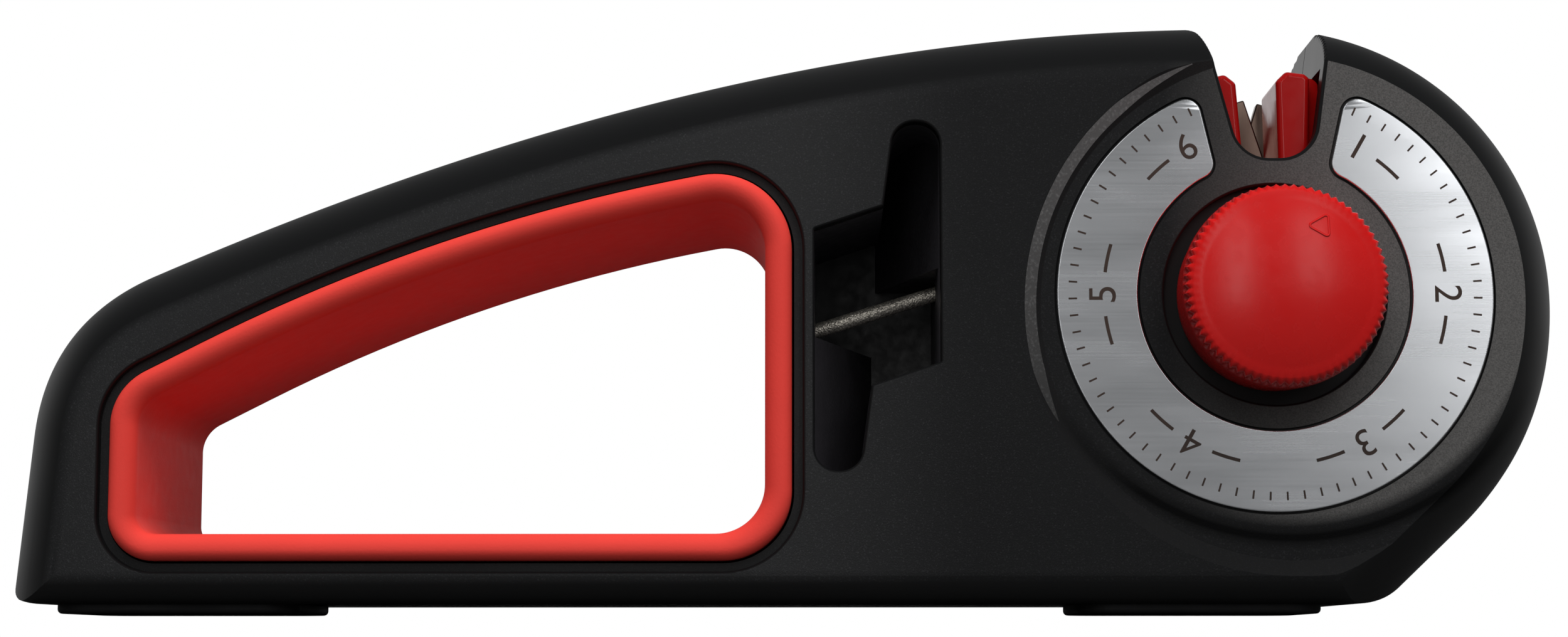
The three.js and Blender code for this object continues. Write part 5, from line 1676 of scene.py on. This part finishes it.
def rod(radius, reach, count, grit):
    """A solid of circles along the scissor rod's axis, with grains that swell and pinch the radius."""
    tilt = bpy.context.scene.sharpener_slot.rod_tilt
    along = np.array([math.cos(tilt), 0, math.sin(tilt)])
    aside = np.array([0, 1.0, 0])
    up = np.cross(along, aside)
    centre = np.array([SLOT[0], MIDDLE, SLOT[1]])
    turn = np.linspace(0, 2 * math.pi, ROD_POINTS, endpoint=False)[:, None]
    circles = np.cos(turn) * aside + np.sin(turn) * up
    grains = 1 + grit * np.random.default_rng(GRIT_SEED).standard_normal((count, ROD_POINTS))
    rows = np.linspace(-reach, reach, count)
    return solid([
        centre + along * row + circles * (radius * grain)[:, None] for row, grain in zip(rows, grains)
    ])


class SHARPENER_OT_scissor(Operator):
    """Build the pocket behind the scissor slot and its gritty rod"""

    bl_idname = "sharpener.build_scissor"
    bl_label = "Scissor slot"

    def execute(self, context):
        sizes = context.scene.sharpener_slot
        wall = context.scene.sharpener_body.wall
        fit = context.scene.sharpener_handle.fit
        back = HALF - wall - fit
        start = -back
        floor = back - sizes.guide_floor
        side = sizes.half_width + PROUD
        top = sizes.half_height + PROUD
        ramp = np.array([(side, start + sizes.ramp_start), (side, floor + PROUD), (0, floor + PROUD)])
        middle = np.array([SLOT[0], MIDDLE])
        ramps = [
            tower(ramp + middle, SLOT[1] + sizes.ramp_clear, SLOT[1] + top),
            tower(ramp * (-1, 1) + middle, SLOT[1] - top, SLOT[1] - sizes.ramp_clear),
        ]
        room = cut(plate(slot_outline(), start - PROUD, floor), *ramps)
        hole = rod(sizes.rod_radius + 2 * sizes.rod_slip, ROD_CUT, 2, 0)
        guide = cut(plate(slot_outline(sizes.guide_wall), start, back), room, hole)
        black = finish("black_moulding", black_moulding)
        finished(guide, "slot_guide", "housing", black, ["scissor_guide"])
        tilt = sizes.rod_tilt
        side_reach = sizes.half_width + sizes.guide_wall - sizes.rod_slip
        reach = side_reach / math.cos(tilt) - (sizes.rod_radius + sizes.rod_slip) * math.tan(tilt)
        grit = finish("diamond_grit", diamond_grit)
        pin = rod(sizes.rod_radius, reach, ROD_SECTIONS, ROD_GRIT)
        finished(pin, "abrasive_rod", "housing", grit, ["scissor_rod"], ALL_SOFT)
        return {"FINISHED"}


class SHARPENER_OT_feet(Operator):
    """Build the rubber foot pads"""

    bl_idname = "sharpener.build_feet"
    bl_label = "Feet"

    def execute(self, context):
        rubber = finish("foot_rubber", foot_rubber)
        edge = context.scene.sharpener_body.pad_edge
        lift, outward = quarter(edge)
        for side, outline in zip(("left", "right"), pad_outlines()):
            node = f"foot_pad_{side}"
            low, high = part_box(node)
            heights = [*(low.z + lift), high.z]
            insets = [*(edge - outward), 0]
            rings = [
                np.column_stack([grown(outline, -inset), np.full(len(outline), height)])
                for inset, height in zip(insets, heights)
            ]
            finished(solid(rings), f"rubber_pad_{side}", "housing", rubber, [node])
        return {"FINISHED"}


class SHARPENER_OT_screws(Operator):
    """Build the housing screws that show at the rear"""

    bl_idname = "sharpener.build_screws"
    bl_label = "Housing screws"

    def execute(self, context):
        sizes = context.scene.sharpener_screw
        inward, outward = quarter(1.0, CROWN_STEPS)
        half, reach = sizes.cross_half, sizes.cross_reach
        for k, place in enumerate(screw_places("housing_screw", HOUSING_SCREWS)):
            node = f"housing_screw_{k + 1}"
            low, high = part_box(node)
            tip, back = low.y - MIDDLE, high.y - MIDDLE
            radius = (high.x - low.x) / 2
            under = back - sizes.head
            crown = np.column_stack([radius * (1 - inward), back - sizes.dome * (1 - outward)])
            profile = [
                (0, tip), (sizes.shank * sizes.blunt, tip), (sizes.shank, tip + sizes.point),
                (sizes.shank, under), (radius, under), *crown,
            ]
            bars = []
            for x, z in ((half, reach), (reach, half)):
                bar = np.array([(-x, -z), (x, -z), (x, z), (-x, z)]) + place
                bars.append(plate(bar, back - sizes.cross_depth, back + PROUD))
            screw = cut(solid(revolved(profile, BORE_POINTS, place)), *bars)
            finished(screw, f"case_screw_{k + 1}", "housing", steel(), [node])
        return {"FINISHED"}


class SHARPENER_OT_hardware(Operator):
    """Finish the abrasives and the hardware inside, and soften the edges of the plates"""

    bl_idname = "sharpener.dress_hardware"
    bl_label = "Abrasives and hardware"

    def execute(self, context):
        carbide = finish("ground_carbide", ground_metal("carbide", 0.34, (10, 1, 1)))
        grit = finish("diamond_grit", diamond_grit)
        ceramic = finish("fine_ceramic", fine_ceramic)
        plates = {
            "coarse_plate": ("carbide", carbide),
            "single_bevel_plate": ("carbide", carbide),
            "medium_plate": ("diamond", grit),
            "ceramic_knife_plate": ("diamond", grit),
        }
        for name, (slot, material) in plates.items():
            for side in ("left", "right"):
                node = f"{name}_{side}"
                mesh = frame["nodes"][node].data.copy()
                merge(mesh, CAD_SAME, CAD_FLAT)
                thing = bpy.data.objects.new(f"{name}_edge_{side}", mesh)
                context.scene.collection.objects.link(thing)
                soft = thing.modifiers.new("soft_edges", "BEVEL")
                soft.width = context.scene.sharpener_turret.plate_edge
                soft.segments = 2
                finished(thing, f"abrasive_{name}_{side}", "turret", material, [node])
        for name, material in (("fine_rod", ceramic), ("serrated_rod", grit)):
            for side in ("left", "right"):
                frame["nodes"][f"{name}_{side}"].data.materials[0] = material
        screws = [f"turret_screw_{k + 1}" for k in range(TURRET_SCREWS)]
        for node in ("axle", "thrust_washer", "retaining_clip", *screws, "detent_spring", "detent_screw"):
            frame["nodes"][node].data.materials[0] = steel()
        return {"FINISHED"}


# Stage

class SHARPENER_OT_stage(Operator):
    """Set the floor, the sky, the lamps and the camera"""

    bl_idname = "sharpener.set_stage"
    bl_label = "Stage"

    def execute(self, context):
        settings = context.scene.sharpener_stage
        context.scene.view_settings.view_transform = "Standard"
        self.set_sky(context.scene, settings)
        self.set_floor(context.scene, settings)
        target = np.array([HUB[0], MIDDLE, HUB[1]])
        self.add_lamp("strip_left", settings.strip, settings.left_place, target, settings.left_spread)
        self.add_lamp("strip_right", settings.strip, settings.right_place, target, settings.right_spread)
        key = self.add_lamp("key", settings.key, settings.key_place, np.zeros(3), settings.key_spread)
        key.visible_glossy = False
        camera = bpy.data.cameras.new("camera")
        camera.lens = settings.lens
        camera.sensor_width = settings.sensor
        camera.sensor_fit = "HORIZONTAL"
        camera.clip_start = 0.01
        thing = bpy.data.objects.new("camera", camera)
        thing.location = settings.eye
        thing.rotation_euler = settings.aim
        context.scene.collection.objects.link(thing)
        context.scene.camera = thing
        return {"FINISHED"}

    @staticmethod
    def add_lamp(name, watts, place, target, spread):
        """A rectangular soft lamp that faces a target."""
        lamp = bpy.data.lights.new(name, "AREA")
        lamp.shape = "RECTANGLE"
        lamp.size, lamp.size_y = spread
        lamp.energy = watts
        thing = bpy.data.objects.new(name, lamp)
        thing.location = place
        thing.rotation_euler = (Vector(target) - Vector(place)).to_track_quat("-Z", "Y").to_euler()
        bpy.context.scene.collection.objects.link(thing)
        return thing

    @staticmethod
    def set_sky(scene, settings):
        """White to the camera. Gloss sees it white low behind the object, and dim overhead and in front."""
        world = bpy.data.worlds.new("sky")
        scene.world = world
        world.use_nodes = True
        world.node_tree.nodes.clear()
        work = Nodes(world.node_tree)
        light = work.add("LightPath").outputs
        spot = work.split(work.add("TexCoord").outputs["Generated"])
        behind = work.ranged(spot["Y"], -0.35, 0.55, settings.front)
        low = work.ranged(spot["Z"], 0.25, 0.6, 1.0, 0.25)
        glossy = work.add("Background", {"Strength": work.times(behind, low)}).outputs[0]
        plain = work.add("Background", {"Strength": settings.fill}).outputs[0]
        seen = work.add("Background", {"Color": (1, 1, 1, 1)}).outputs[0]
        mirrored = work.math("MAXIMUM", light["Is Glossy Ray"], light["Is Transmission Ray"])
        sky = work.mixed(light["Is Camera Ray"], work.mixed(mirrored, plain, glossy), seen)
        work.add("OutputWorld", {"Surface": sky})

    @staticmethod
    def set_floor(scene, settings):
        """A pale floor under the feet, clear from below."""
        reach = settings.floor_reach
        corners = [(-reach, -reach, 0), (reach, -reach, 0), (reach, reach, 0), (-reach, reach, 0)]
        mesh = bpy.data.meshes.new("floor")
        mesh.from_pydata(corners, [], [(0, 1, 2, 3)])
        thing = bpy.data.objects.new("floor", mesh)
        scene.collection.objects.link(thing)
        work = Finish("pale_floor")
        seen = work.add("LightPath").outputs["Is Camera Ray"]
        work.plain(settings.floor_shade, 0.6)
        work.give("Base Color", work.tinted(seen, settings.floor_shade, settings.floor_seen))
        work.give("Roughness", work.ranged(work.noise(8), 0.3, 0.7, 0.55, 0.7))
        clear = work.add("BsdfTransparent").outputs[0]
        under = work.add("NewGeometry").outputs["Backfacing"]
        surface = work.mixed(under, work.shader.outputs[0], clear)
        work.tree.links.new(surface, work.tree.nodes["Material Output"].inputs["Surface"])
        mesh.materials.append(work.material)


# Steps, panel and registration

OPERATORS = (
    SHARPENER_OT_stage,
    SHARPENER_OT_shells,
    SHARPENER_OT_liner,
    SHARPENER_OT_scale,
    SHARPENER_OT_band,
    SHARPENER_OT_knob,
    SHARPENER_OT_turret,
    SHARPENER_OT_scissor,
    SHARPENER_OT_feet,
    SHARPENER_OT_screws,
    SHARPENER_OT_hardware,
)


class SHARPENER_PT_panel(Panel):
    """Steps that dress the sharpener, and the sizes and colours that they use"""

    bl_label = "Sharpener"
    bl_idname = "SHARPENER_PT_panel"
    bl_space_type = "VIEW_3D"
    bl_region_type = "UI"
    bl_category = "Sharpener"

    def draw(self, context):
        for operator in OPERATORS:
            self.layout.operator(operator.bl_idname)
        for group in GROUPS:
            values = getattr(context.scene, group)
            box = self.layout.box()
            for key in values.__annotations__:
                box.prop(values, key)


def register():
    """Makes the groups, the operators and the panel known to Blender."""
    for group in GROUPS.values():
        bpy.utils.register_class(group)
    for name, group in GROUPS.items():
        setattr(bpy.types.Scene, name, PointerProperty(type=group))
    for kind in (*OPERATORS, SHARPENER_PT_panel):
        bpy.utils.register_class(kind)


def unregister():
    """Takes them away again."""
    for kind in (SHARPENER_PT_panel, *reversed(OPERATORS)):
        bpy.utils.unregister_class(kind)
    for name, group in GROUPS.items():
        delattr(bpy.types.Scene, name)
        bpy.utils.unregister_class(group)


def main():
    """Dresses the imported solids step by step."""
    register()
    for operator in OPERATORS:
        group, step = operator.bl_idname.split(".")
        getattr(getattr(bpy.ops, group), step)()


if __name__ == "__main__":
    main()
